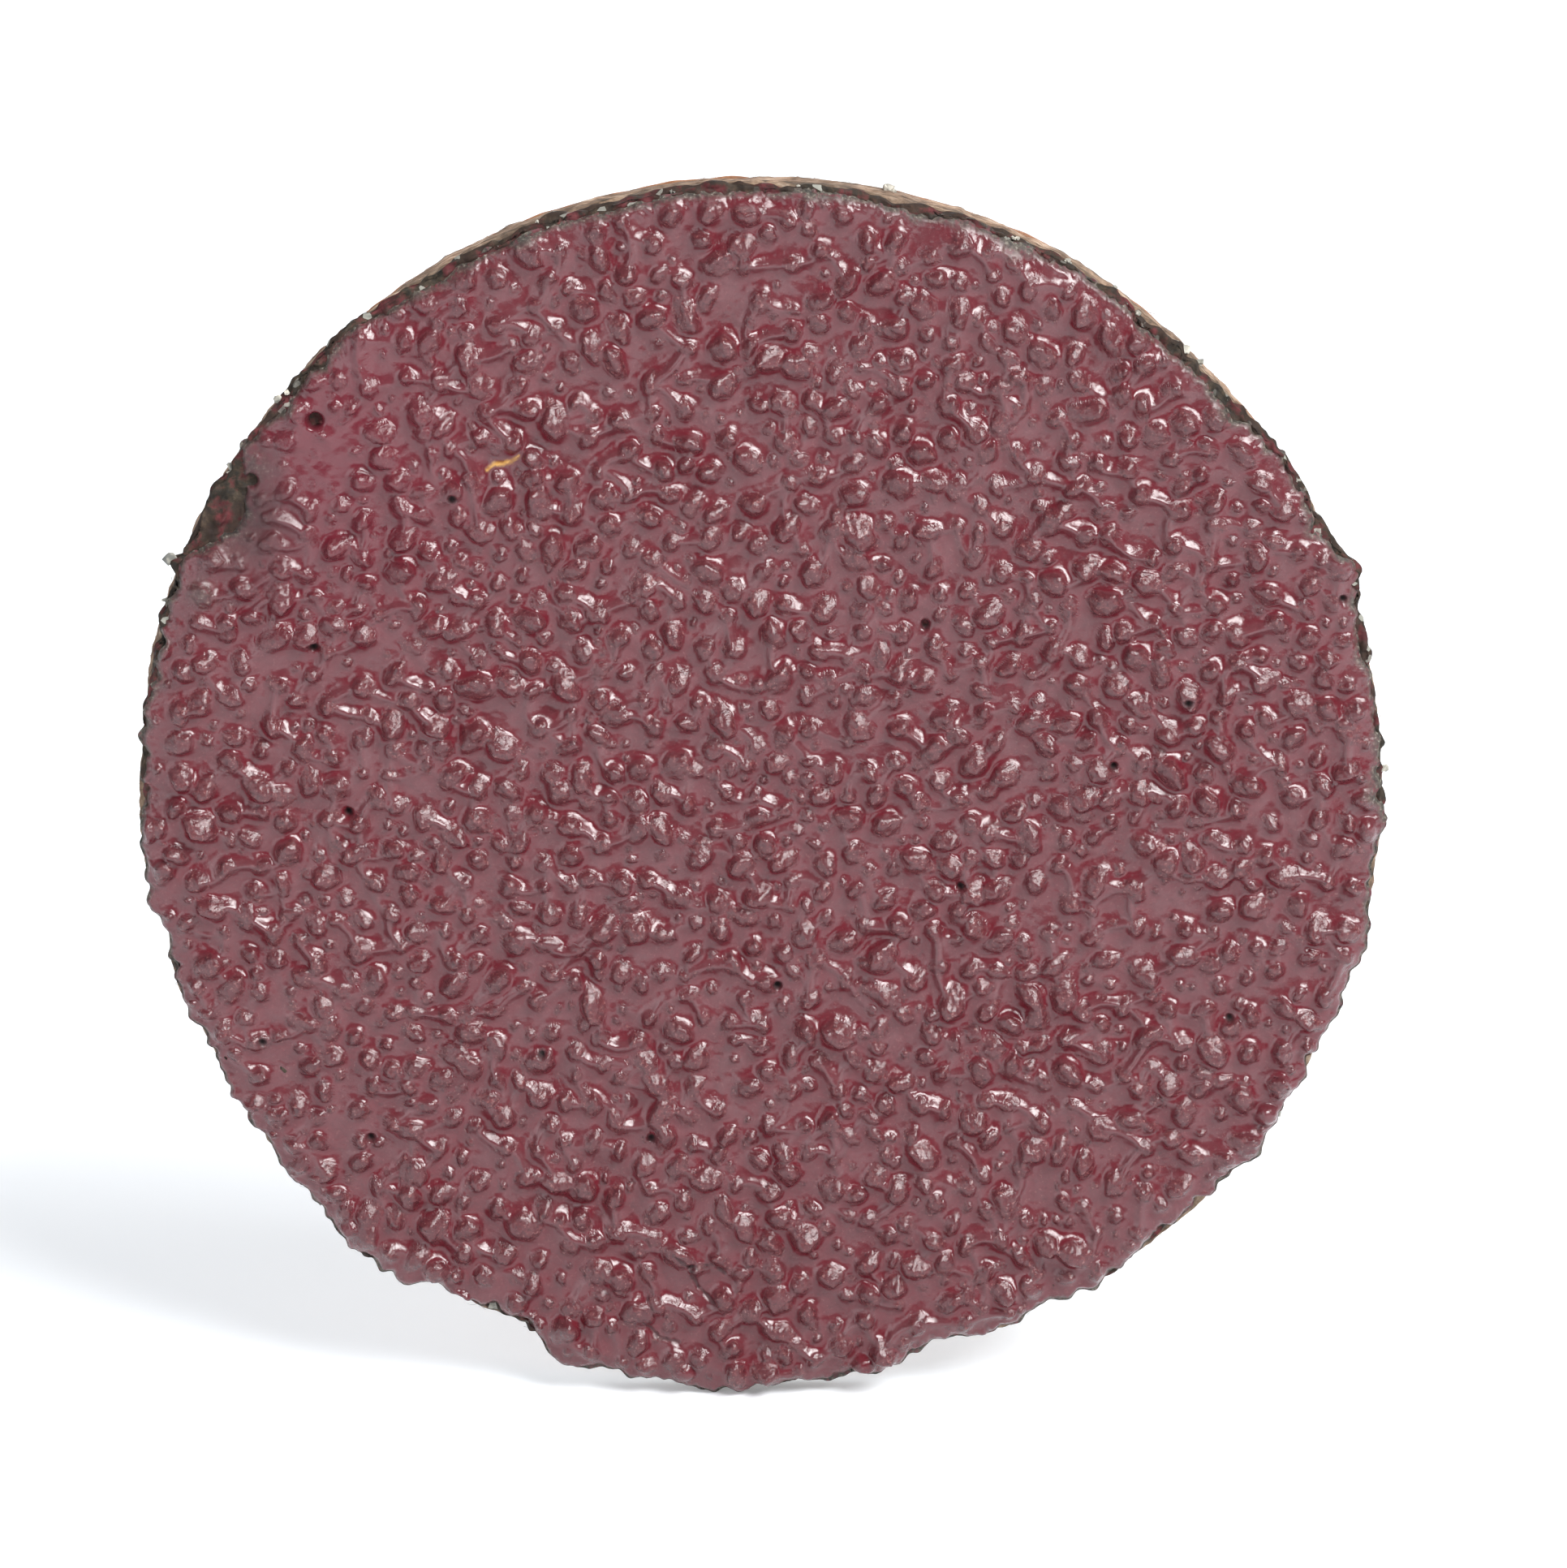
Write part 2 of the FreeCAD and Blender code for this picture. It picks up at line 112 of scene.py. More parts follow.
def rim_of(name, y, steps=288):
    """Outline radius of a node at each of its outline corners, from the plane y."""
    co = node_co(name)
    r = np.hypot(co[:, 0], co[:, 2])
    near = co[(np.abs(co[:, 1] - y) < 0.02) & (r > 22.0)]
    deg = np.degrees(np.arctan2(near[:, 2], near[:, 0])) % 360.0
    slot = deg / (360.0 / steps)
    on = np.abs(slot - np.round(slot)) < 0.03
    out = np.zeros(steps)
    k = np.round(slot[on]).astype(int) % steps
    np.maximum.at(out, k, np.hypot(near[on, 0], near[on, 2]))
    bad = out < 20
    if bad.any():
        out[bad] = np.interp(np.nonzero(bad)[0], np.nonzero(~bad)[0], out[~bad])
    return out


def rim_at(table, ang):
    """Smooth radius at angles in radians, through the outline corners."""
    n = len(table)
    t = (np.asarray(ang) / (2 * math.pi) * n) % n
    i = np.floor(t).astype(int)
    f = t - i
    p = [table[(i + k) % n] for k in (-1, 0, 1, 2)]
    return (p[1] + 0.5 * f * (p[2] - p[0] + f * (2 * p[0] - 5 * p[1] + 4 * p[2] - p[3]
            + f * (3 * (p[1] - p[2]) + p[3] - p[0]))))


# ------------------------------------------------------------------ fields on a grid
HALF = 26.6
CELL = 0.05
G = int(round(2 * HALF / CELL)) + 1
axis = np.linspace(-HALF, HALF, G)
GX, GZ = np.meshgrid(axis, axis)                  # rows run along z, columns along x


def field(seed, size, power=2.0):
    """A smooth random field with features about size mm across, mean 0 and deviation 1."""
    r = np.random.default_rng(seed)
    f = np.fft.rfft2(r.standard_normal((G, G)).astype(np.float32))
    ky = np.fft.fftfreq(G, CELL)[:, None]
    kx = np.fft.rfftfreq(G, CELL)[None, :]
    k = np.sqrt(kx * kx + ky * ky)
    k0 = 1.0 / size
    f *= np.exp(-((k / k0) ** power)) * (1 - np.exp(-((k / (0.35 * k0)) ** 2)))
    out = np.fft.irfft2(f, (G, G)).astype(np.float32)
    return (out - out.mean()) / out.std()


def blur(u, sigma):
    """Gaussian blur, sigma in mm."""
    f = np.fft.rfft2(u)
    ky = np.fft.fftfreq(G, CELL)[:, None]
    kx = np.fft.rfftfreq(G, CELL)[None, :]
    f *= np.exp(-2 * (math.pi * sigma) ** 2 * (kx * kx + ky * ky))
    return np.fft.irfft2(f, (G, G)).astype(np.float32)


def sample(u, x, z):
    """Bilinear look-up at points in mm."""
    fx = np.clip((x + HALF) / CELL, 0, G - 1.001)
    fz = np.clip((z + HALF) / CELL, 0, G - 1.001)
    i, j = fz.astype(int), fx.astype(int)
    a, b = fz - i, fx - j
    return ((u[i, j] * (1 - b) + u[i, j + 1] * b) * (1 - a)
            + (u[i + 1, j] * (1 - b) + u[i + 1, j + 1] * b) * a)


# ------------------------------------------------------------------ grain
def hull(points):
    """Convex hull of (n, 3) points: corner array and triangles wound outwards."""
    bm = bmesh.new()
    for p in points:
        bm.verts.new(p)
    got = bmesh.ops.convex_hull(bm, input=bm.verts)
    loose = [v for v in bm.verts if not v.link_faces]
    bmesh.ops.delete(bm, geom=loose, context="VERTS")
    bmesh.ops.recalc_face_normals(bm, faces=bm.faces)
    bm.verts.index_update()
    co = np.array([v.co[:] for v in bm.verts])
    tri = np.array([[v.index for v in f.verts] for f in bm.faces if len(f.verts) == 3])
    bm.free()
    return co, tri


def grain_list(name):
    co, parts = islands(name)
    rows = []
    for idx in parts:
        p = co[idx]
        c = (p.max(0) + p.min(0)) / 2
        base = p[p[:, 1] > Y_MAKE - 0.02]
        r = np.hypot(base[:, 0] - c[0], base[:, 2] - c[2]).max()
        rows.append((c[0], c[2], r, Y_MAKE - p[:, 1].min()))
    return sorted(rows)


def rocks(rows, seed, stretch, sides, small, grow):
    """Crushed-mineral shapes on the grains' footprints.  Local frame: x, up (height), z."""
    rng = np.random.default_rng(seed)
    out = []
    for x, z, r, h in rows:
        pts = []
        turn = rng.uniform(0, 2 * math.pi)
        e = rng.uniform(1.0, stretch)
        big = small + grow * rng.random() ** 1.5
        ex, ez = r * big * math.sqrt(e), r * big / math.sqrt(e)
        h = h * rng.uniform(0.84, 1.02) * (0.62 + 0.34 * big)
        lean, way = rng.uniform(0, 0.22), rng.uniform(0, 2 * math.pi)
        for n, lo, hi, rl, rh in ((sides, 0.0, 0.0, 0.80, 1.0), (sides, 0.34, 0.62, 0.84, 1.04),
                                  (sides, 0.70, 0.88, 0.52, 0.84), (4, 0.90, 1.0, 0.05, 0.46)):
            for k in range(n):
                a = 2 * math.pi * (k + rng.uniform(-0.32, 0.32)) / n + turn * n
                q = rng.uniform(rl, rh)
                px, pz = ex * q * math.cos(a), ez * q * math.sin(a)
                c, s = math.cos(turn), math.sin(turn)
                hh = rng.uniform(lo, hi) if hi else 0.0
                px, pz = px * c - pz * s, px * s + pz * c
                tilt = 1 + 0.30 * (px * math.cos(way) + pz * math.sin(way)) / r * (hh > 0.5)
                pts.append((px + lean * r * hh * math.cos(way), h * hh * tilt, pz + lean * r * hh * math.sin(way)))
        co, tri = hull(pts)
        out.append((x, z, co, tri))
    return out


def raster(rock_list, top):
    """Raises the field top to the rocks' upper faces."""
    for x, z, co, tri in rock_list:
        j0 = max(0, int((x + co[:, 0].min() + HALF) / CELL)); j1 = min(G, int((x + co[:, 0].max() + HALF) / CELL) + 2)
        i0 = max(0, int((z + co[:, 2].min() + HALF) / CELL)); i1 = min(G, int((z + co[:, 2].max() + HALF) / CELL) + 2)
        if j1 <= j0 or i1 <= i0:
            continue
        a, b, c = co[tri[:, 0]], co[tri[:, 1]], co[tri[:, 2]]
        nrm = np.cross(b - a, c - a)
        nrm /= np.linalg.norm(nrm, axis=1)[:, None] + 1e-12
        inner = co.mean(0)
        flip = np.einsum("ij,ij->i", nrm, a - inner) < 0
        nrm[flip] *= -1
        up = nrm[:, 1] > 0.04
        dx, dz = axis[j0:j1] - x, axis[i0:i1] - z
        h = np.full((i1 - i0, j1 - j0), 9.0)
        for n_, p in zip(nrm[up], a[up]):
            h = np.minimum(h, p[1] - (n_[0] * (dx[None, :] - p[0]) + n_[2] * (dz[:, None] - p[2])) / n_[1])
        side = (nrm[:, 1] <= 0.04) & (nrm[:, 1] > -0.9)
        for n_, p in zip(nrm[side], a[side]):
            out = (n_[0] * (dx[None, :] - p[0]) + n_[2] * (dz[:, None] - p[2])) > 0
            h[out] = -1
        top[i0:i1, j0:j1] = np.maximum(top[i0:i1, j0:j1], h)


coarse_rows, fine_rows = grain_list("coarse_grain"), grain_list("fine_grain")
coarse = rocks(coarse_rows, 31, 1.7, 6, 1.05, 0.62)
fine = rocks(fine_rows, 32, 1.5, 5, 1.10, 0.75)
rock_top = np.full((G, G), -1.0, np.float64)
raster(coarse, rock_top)
raster(fine, rock_top)
rock_top = rock_top.astype(np.float32)


# ------------------------------------------------------------------ resin over the grain
def webs(rows, seed):
    """Thin resin webs that hang between neighbouring grains."""
    rng = np.random.default_rng(seed)
    top = np.full((G, G), -1.0, np.float32)
    pts = np.array([(r[0], r[1], r[2], r[3]) for r in rows])
    for n in range(len(pts)):
        d = np.hypot(pts[:, 0] - pts[n, 0], pts[:, 1] - pts[n, 1])
        near = [m for m in np.argsort(d)[1:6] if m > n and d[m] < 1.95]
        for m in near:
            if rng.random() > 0.33:
                continue
            ax, az, bx, bz = pts[n, 0], pts[n, 1], pts[m, 0], pts[m, 1]
            length = d[m]
            ux, uz = (bx - ax) / length, (bz - az) / length
            bow = rng.uniform(-0.18, 0.18) * length
            lift, drop, width = rng.uniform(0.84, 1.0), rng.uniform(0.03, 0.22), rng.uniform(0.10, 0.20)
            pad = 0.5
            j0 = max(0, int((min(ax, bx) - pad + HALF) / CELL)); j1 = min(G, int((max(ax, bx) + pad + HALF) / CELL))
            i0 = max(0, int((min(az, bz) - pad + HALF) / CELL)); i1 = min(G, int((max(az, bz) + pad + HALF) / CELL))
            X, Z = GX[i0:i1, j0:j1] - ax, GZ[i0:i1, j0:j1] - az
            t = np.clip((X * ux + Z * uz) / length, 0, 1)
            side = (-X * uz + Z * ux) - bow * 4 * t * (1 - t)
            along = np.maximum(0, np.abs((X * ux + Z * uz) / length - 0.5) - 0.5) * length
            h = (pts[n, 3] * (1 - t) + pts[m, 3] * t) * lift - drop * 4 * t * (1 - t)
            h = h - (side / width) ** 2 * 0.16 - (along / width) ** 2 * 0.16
            top[i0:i1, j0:j1] = np.maximum(top[i0:i1, j0:j1], h)
    return top


def spot(cx, cz, rx, rz):
    return np.exp(-(((GX - cx) / rx) ** 2 + ((GZ - cz) / rz) ** 2)).astype(np.float32)


smooth_patch = spot(-17.3, 14.9, 1.7, 2.5)
level = (POOL_T - 0.18 + 0.045 * field(41, 3.2) + 0.03 * field(42, 1.4) + 0.20 * smooth_patch).astype(np.float32)
# where two flows of resin met there is a low curved seam
seam = field(43, 2.3)
level += (0.10 * np.exp(-(seam / 0.055) ** 2) * (field(44, 4.0) > 0.0)).astype(np.float32)
# wrinkles where the resin flowed between the grains
for seed_, size_, wide_, rise_ in ((51, 1.5, 0.16, 0.075), (52, 1.0, 0.22, 0.050), (53, 2.6, 0.07, 0.07)):
    n_ = field(seed_, size_)
    level += (rise_ * np.exp(-(n_ / wide_) ** 2) * np.clip(field(seed_ + 5, 3.0) + 0.6, 0, 1)).astype(np.float32)
level += 0.030 * field(54, 0.75)
low = np.maximum(blur(np.maximum(rock_top, 0.0), 0.060) + 0.050, 0)
web = webs(coarse_rows, 45)
hold = np.maximum(np.where(rock_top > 0.02, low, -1), web)
lam = 0.235 / CELL
u = np.maximum(level, hold)
k = lam * lam
for _ in range(110):
    near = np.empty_like(u)
    near[1:-1, 1:-1] = u[:-2, 1:-1] + u[2:, 1:-1] + u[1:-1, :-2] + u[1:-1, 2:]
    near[0], near[-1], near[:, 0], near[:, -1] = u[0] * 4, u[-1] * 4, u[:, 0] * 4, u[:, -1] * 4
    u = np.maximum((level + k * near) / (1 + 4 * k), hold)
u = blur(u, 0.048)
u = np.maximum(u, np.where(rock_top > 0, rock_top + 0.006, 0))
skin = (u - np.maximum(rock_top, 0)).astype(np.float32)
painted_crease_shade = np.clip((blur(u, 0.22) - u) / 0.10, -1, 1).astype(np.float32)      # over 0 in the feet of the lumps, where painted shade darkens the resin colour
on_grain = np.clip(1 - skin / 0.32, 0, 1)
knobs = 0.042 * np.clip(field(55, 0.50) - 0.1, 0, 2.0) + 0.022 * np.clip(field(56, 0.30), 0, 2.0)
u = u + (0.0085 * field(46, 0.19) + knobs) * on_grain + 0.003 * field(46, 0.19) + 0.009 * field(47, 0.45)

RIM_F = field(57, 0.36)
lump_f = field(47, 0.45)
# big resin-covered lumps that stand right on the rim
for cx, cz, rx, rz, rise in ((23.45, 9.75, 0.62, 0.78, 0.86), (24.75, -1.35, 0.50, 0.66, 0.80), (-16.9, -18.6, 0.66, 0.52, 0.78),
                             (-12.6, -21.8, 0.62, 0.52, 0.82), (-3.2, -24.9, 0.60, 0.50, 0.80), (4.3, -24.6, 0.62, 0.52, 0.82),
                             (-25.0, -1.4, 0.46, 0.62, 0.80), (-24.3, 6.3, 0.46, 0.56, 0.74), (20.9, -13.6, 0.56, 0.52, 0.78)):
    d2 = ((GX - cx) / rx) ** 2 + ((GZ - cz) / rz) ** 2
    u = np.maximum(u, rise * np.sqrt(np.clip(1 - d2, 0, 1)) + 0.02 * lump_f * (d2 < 1))

# pinholes and the few fine cracks low on the face
PINHOLES = [(-17.9, 15.8, 0.25, 0.85), (-20.5, 13.3, 0.21, 0.70), (-20.9, 12.8, 0.18, 0.60),
            (-18.1, 6.4, 0.16, 0.35), (6.7, 7.3, 0.15, 0.35), (14.4, 1.4, 0.14, 0.35),
            (17.4, 4.1, 0.15, 0.35), (23.6, 8.4, 0.14, 0.30), (0.7, -8.0, 0.16, 0.35),
            (-9.0, -10.9, 0.14, 0.30), (-20.5, -10.4, 0.15, 0.35), (-16.8, -0.6, 0.14, 0.30),
            (8.2, -3.7, 0.13, 0.30), (19.3, -9.4, 0.14, 0.30), (-16.1, -14.6, 0.14, 0.30),
            (-4.5, -14.6, 0.14, 0.30), (-12.4, 12.6, 0.15, 0.35)]
# painted_shade marks where near-black painted shade goes into the pinholes and cracks
painted_shade = np.zeros((G, G), np.float32)
for px, pz, pr, depth in PINHOLES:
    d = np.hypot(GX - px, GZ - pz)
    m = 1 / (1 + (d / pr) ** 6)
    floor_h = sample(u, np.array([px]), np.array([pz]))[0]
    u = u * (1 - m) + np.minimum(u, floor_h - depth) * m
    painted_shade = np.maximum(painted_shade, m.astype(np.float32))
for path in ([(-3.6, -19.6), (-2.9, -20.3), (-2.6, -21.2), (-1.8, -21.9)],
             [(-4.9, -22.6), (-4.2, -23.4), (-3.4, -23.6)],
             [(-2.9, -20.3), (-2.0, -20.1), (-1.5, -20.5)]):
    for (ax, az), (bx, bz) in zip(path, path[1:]):
        length = math.hypot(bx - ax, bz - az)
        t = np.clip(((GX - ax) * (bx - ax) + (GZ - az) * (bz - az)) / length ** 2, 0, 1)
        d = np.hypot(GX - ax - t * (bx - ax), GZ - az - t * (bz - az)) + 0.03 * field(48, 0.4)
        m = np.exp(-(d / 0.055) ** 2)
        u = u - 0.12 * m
        painted_shade = np.maximum(painted_shade, 0.6 * m.astype(np.float32))
# one stray yellow fibre set in the resin
fleck = np.zeros((G, G), np.float32)
FLECK = [(-11.0, 13.75), (-10.7, 14.00), (-10.35, 14.02), (-10.0, 14.12), (-9.72, 14.36)]
for n_, ((ax, az), (bx, bz)) in enumerate(zip(FLECK, FLECK[1:])):
    length = math.hypot(bx - ax, bz - az)
    t = np.clip(((GX - ax) * (bx - ax) + (GZ - az) * (bz - az)) / length ** 2, 0, 1)
    d = np.hypot(GX - ax - t * (bx - ax), GZ - az - t * (bz - az))
    fleck = np.maximum(fleck, np.exp(-(d / (0.095 if n_ in (1, 2) else 0.065)) ** 4).astype(np.float32))
u = u + 0.07 * fleck
u = u.astype(np.float32)


# ------------------------------------------------------------------ mesh helpers
def new_mesh(name, co_mm, faces, attrs=None, smooth=True, sharp=None):
    me = bpy.data.meshes.new(name)
    co = np.asarray(co_mm, np.float64) * MM
    if isinstance(faces, np.ndarray) and faces.ndim == 2:
        n, w = faces.shape
        me.vertices.add(len(co)); me.vertices.foreach_set("co", co.astype(np.float32).ravel())
        me.loops.add(n * w); me.loops.foreach_set("vertex_index", faces.astype(np.int32).ravel())
        me.polygons.add(n)
        me.polygons.foreach_set("loop_start", np.arange(0, n * w, w, dtype=np.int32))
        me.polygons.foreach_set("loop_total", np.full(n, w, np.int32))
        me.update(calc_edges=True)
        me.validate()
    else:
        me.from_pydata([tuple(c) for c in co], [], [tuple(int(i) for i in f) for f in faces])
        me.validate()
        me.update()
    for key, values in (attrs or {}).items():
        a = me.attributes.new(key, "FLOAT", "POINT")
        a.data.foreach_set("value", np.asarray(values, np.float32))
    me.polygons.foreach_set("use_smooth", np.full(len(me.polygons), smooth))
    o = bpy.data.objects.new(name, me)
    bpy.context.scene.collection.objects.link(o)
    return o


def place(o, slot, mat, *replaced):
    o.data.materials.clear()
    o.data.materials.append(mat)
    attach(o, "root")
    if replaced:
        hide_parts(*replaced)
    return o


def ring_grid(rows, n):
    """Quads between consecutive rows of n points each, closed round the ring."""
    i = np.arange(n)
    j = (i + 1) % n
    quads = []
    for r in range(rows - 1):
        a, b = r * n, (r + 1) * n
        quads.append(np.stack([a + i, a + j, b + j, b + i], 1))
    return np.concatenate(quads)


def ring_noise(seed, n, step, fade=1.0):
    """Noise round a ring of n points, features of step points."""
    r = np.random.default_rng(seed)
    f = np.fft.rfft(r.standard_normal(n))
    kk = np.arange(len(f)) * step / n
    f *= np.exp(-(kk ** 2) * fade)
    f[0] = 0
    out = np.fft.irfft(f, n)
    return out / out.std()


def sheet_noise(seed, rows, n, step, row_step):
    """Noise on a (rows, n) band that is closed round the ring."""
    r = np.random.default_rng(seed)
    f = np.fft.fft2(r.standard_normal((rows, n)))
    kn = np.abs(np.fft.fftfreq(n)) * step
    kr = np.abs(np.fft.fftfreq(rows)) * row_step
    f *= np.exp(-(kn[None, :] ** 2 + kr[:, None] ** 2) * 4)
    out = np.real(np.fft.ifft2(f))
    return (out - out.mean()) / (out.std() + 1e-9)


# ------------------------------------------------------------------ materials
def srgb(r, g, b):
    c = [v / 255.0 for v in (r, g, b)]
    return tuple(v / 12.92 if v <= 0.04045 else ((v + 0.055) / 1.055) ** 2.4 for v in c) + (1.0,)


class Mat:
    """A small builder of node materials."""

    def __init__(self, name, **sockets):
        self.m = bpy.data.materials.new(name)
        self.m.use_nodes = True
        self.t = self.m.node_tree
        self.bsdf = self.t.nodes["Principled BSDF"]
        for key, value in sockets.items():
            self.bsdf.inputs[key.replace("_", " ")].default_value = value
        self.pos = None

    def node(self, kind, **props):
        n = self.t.nodes.new(kind)
        for key, value in props.items():
            setattr(n, key, value)
        return n

    def link(self, a, b):
        self.t.links.new(a, b)

    def coords(self, scale=(1, 1, 1)):
        if self.pos is None:
            self.pos = self.node("ShaderNodeTexCoord").outputs["Object"]
        if scale == (1, 1, 1):
            return self.pos
        n = self.node("ShaderNodeMapping")
        n.inputs["Scale"].default_value = scale
        self.link(self.pos, n.inputs["Vector"])
        return n.outputs["Vector"]

    def attr(self, name):
        return self.node("ShaderNodeAttribute", attribute_name=name).outputs["Fac"]

    def noise(self, size_mm, detail=3.0, rough=0.55, stretch=(1, 1, 1), distortion=0.0):
        n = self.node("ShaderNodeTexNoise")
        n.inputs["Scale"].default_value = 1000.0 / size_mm
        n.inputs["Detail"].default_value = detail
        n.inputs["Roughness"].default_value = rough
        n.inputs["Distortion"].default_value = distortion
        self.link(self.coords(stretch), n.inputs["Vector"])
        return n.outputs["Fac"]

    def cells(self, size_mm, feature="F1", stretch=(1, 1, 1), out="Distance"):
        n = self.node("ShaderNodeTexVoronoi", feature=feature)
        n.inputs["Scale"].default_value = 1000.0 / size_mm
        self.link(self.coords(stretch), n.inputs["Vector"])
        return n.outputs[out]

    def ramp(self, fac, *stops):
        n = self.node("ShaderNodeValToRGB")
        e = n.color_ramp.elements
        while len(e) < len(stops):
            e.new(0.5)
        for el, (p, c) in zip(e, stops):
            el.position = p
            el.color = c if isinstance(c, tuple) else (c, c, c, 1)
        self.link(fac, n.inputs["Fac"])
        return n.outputs["Color"]

    def mix(self, fac, a, b, mode="MIX"):
        n = self.node("ShaderNodeMix", data_type="RGBA", blend_type=mode)
        for sock, value in ((n.inputs[0], fac), (n.inputs[6], a), (n.inputs[7], b)):
            if isinstance(value, (tuple, float, int)):
                sock.default_value = value
            else:
                self.link(value, sock)
        return n.outputs[2]

    def math(self, op, a, b=0.5, clamp=False):
        n = self.node("ShaderNodeMath", operation=op, use_clamp=clamp)
        for sock, value in ((n.inputs[0], a), (n.inputs[1], b)):
            if isinstance(value, (float, int)):
                sock.default_value = value
            else:
                self.link(value, sock)
        return n.outputs[0]

    def bump(self, height, distance_mm, strength=1.0):
        n = self.node("ShaderNodeBump")
        n.inputs["Strength"].default_value = strength
        n.inputs["Distance"].default_value = distance_mm * MM
        self.link(height, n.inputs["Height"])
        self.link(n.outputs["Normal"], self.bsdf.inputs["Normal"])

    def color(self, c):
        self.link(c, self.bsdf.inputs["Base Color"])

    def rough(self, r):
        self.link(r, self.bsdf.inputs["Roughness"])


def resin_material():
    m = Mat("maroon_resin", IOR=1.60)
    film = m.ramp(m.attr("film"), (0.05, 0.0), (0.34, 1.0))
    c = m.mix(film, srgb(85, 33, 38), srgb(99, 49, 54))
    blotch = m.ramp(m.noise(1.3, 4, 0.6), (0.35, srgb(71, 26, 34)), (0.68, srgb(94, 49, 54)))
    c = m.mix(0.34, c, blotch)
    # painted shade: deep red darkening in the creases at the feet of the lumps
    crease_shade = m.ramp(m.attr("painted_crease_shade"), (0.05, 0.0), (0.65, 1.0))
    c = m.mix(m.math("MULTIPLY", crease_shade, 0.85), c, srgb(92, 18, 30))
    # the thin film over a grain shows the grain's own grey-brown mottling
    mott = m.ramp(m.noise(0.42, 4, 0.68), (0.46, 0.0), (0.62, 1.0))
    thin = m.math("MULTIPLY", mott, m.ramp(m.attr("film"), (0.06, 0.34), (0.20, 0.06)))
    c = m.mix(thin, c, m.ramp(m.noise(0.16, 2, 0.6), (0.38, srgb(74, 32, 34)), (0.64, srgb(128, 70, 70))))
    speck = m.ramp(m.noise(0.15, 2, 0.6), (0.60, 0.0), (0.72, 1.0))
    bare = m.ramp(m.attr("film"), (0.08, 1.0), (0.30, 0.22))
    c = m.mix(m.math("MULTIPLY", m.math("MULTIPLY", speck, 0.40), bare), c, srgb(164, 112, 108))
    dark = m.ramp(m.noise(0.20, 2, 0.5), (0.32, 1.0), (0.44, 0.0))
    c = m.mix(m.math("MULTIPLY", m.math("MULTIPLY", dark, 0.50), bare), c, srgb(54, 22, 30))
    c = m.mix(m.math("MULTIPLY", m.attr("tone"), 0.66), c, srgb(96, 24, 38))
    rough_edge = m.math("MULTIPLY", m.attr("dust"), m.ramp(m.noise(0.30, 3, 0.6), (0.34, 0.0), (0.50, 1.0)), True)
    c = m.mix(rough_edge, c, m.ramp(m.noise(0.16, 3, 0.65), (0.36, srgb(34, 29, 24)), (0.50, srgb(64, 58, 50)), (0.62, srgb(92, 86, 76)), (0.74, srgb(160, 157, 145))))
    c = m.mix(m.attr("fleck"), c, m.ramp(m.noise(0.3, 2, 0.5), (0.4, srgb(150, 100, 34)), (0.6, srgb(196, 146, 66))))
    # painted shade: near-black in the pinholes, the cracks and towards the bare strip
    c = m.mix(m.attr("painted_shade"), c, srgb(18, 6, 7))
    m.color(c)
    r = m.ramp(m.noise(0.35, 4, 0.65), (0.34, 0.10), (0.66, 0.26))
    r = m.mix(m.attr("dust"), r, (0.72, 0.72, 0.72, 1))
    r = m.mix(m.attr("painted_shade"), r, (0.95, 0.95, 0.95, 1))
    m.rough(r)
    h = m.math("ADD", m.math("MULTIPLY", m.noise(0.13, 4, 0.66), 1.2), m.math("MULTIPLY", m.noise(0.32, 3, 0.6), 1.6))
    m.bump(m.math("MULTIPLY", h, m.ramp(m.attr("film"), (0.08, 1.0), (0.34, 0.42))), 0.029, 0.82)
    return m.m


def grain_material(name, a, b):
    m = Mat(name, IOR=1.76, Roughness=0.35)
    c = m.ramp(m.noise(0.35, 3, 0.6), (0.35, a), (0.65, b))
    c = m.mix(m.ramp(m.cells(0.12), (0.1, 0.0), (0.5, 0.5)), c, srgb(70, 52, 48))
    m.color(c)
    m.bump(m.noise(0.08, 3, 0.6), 0.012, 0.6)
    return m.m


def make_material():
    m = Mat("dark_make_resin", IOR=1.55, Specular_IOR_Level=0.22)
    c = m.ramp(m.noise(0.50, 5, 0.68), (0.34, srgb(22, 19, 15)), (0.48, srgb(46, 39, 31)), (0.60, srgb(70, 60, 49)), (0.74, srgb(112, 103, 90)))
    c = m.mix(m.ramp(m.noise(1.8, 2, 0.5), (0.40, 0.0), (0.62, 0.55)), c, srgb(58, 38, 32))
    c = m.mix(m.ramp(m.noise(1.0, 4, 0.62), (0.50, 0.0), (0.60, 0.85)), c, m.ramp(m.noise(0.4, 2, 0.5), (0.4, srgb(70, 24, 30)), (0.6, srgb(98, 44, 48))))
    chips = m.ramp(m.cells(0.30, out="Color"), (0.84, 0.0), (0.88, 1.0))
    c = m.mix(m.math("MULTIPLY", chips, 0.7), c, srgb(168, 168, 158))
    m.color(c)
    m.rough(m.ramp(m.noise(0.25, 2, 0.5), (0.35, 0.55), (0.65, 0.88)))
    m.bump(m.noise(0.14, 4, 0.65), 0.05, 0.8)
    return m.m


def fibre_edge_material(name, light, mid, dark):
    m = Mat(name, IOR=1.5)
    streak = m.noise(0.85, 6, 0.66, (1, 7, 1), 0.4)
    c = m.ramp(streak, (0.34, dark), (0.47, mid), (0.60, light), (0.72, srgb(206, 190, 172)))
    c = m.mix(m.ramp(m.noise(2.2, 3, 0.6), (0.42, 0.0), (0.66, 0.6)), c, dark)
    m.color(c)
    m.rough(m.ramp(m.noise(0.3, 2, 0.5), (0.3, 0.62), (0.7, 0.92)))
    m.bump(m.noise(0.16, 4, 0.7, (1, 5, 1)), 0.05, 0.9)
    return m.m


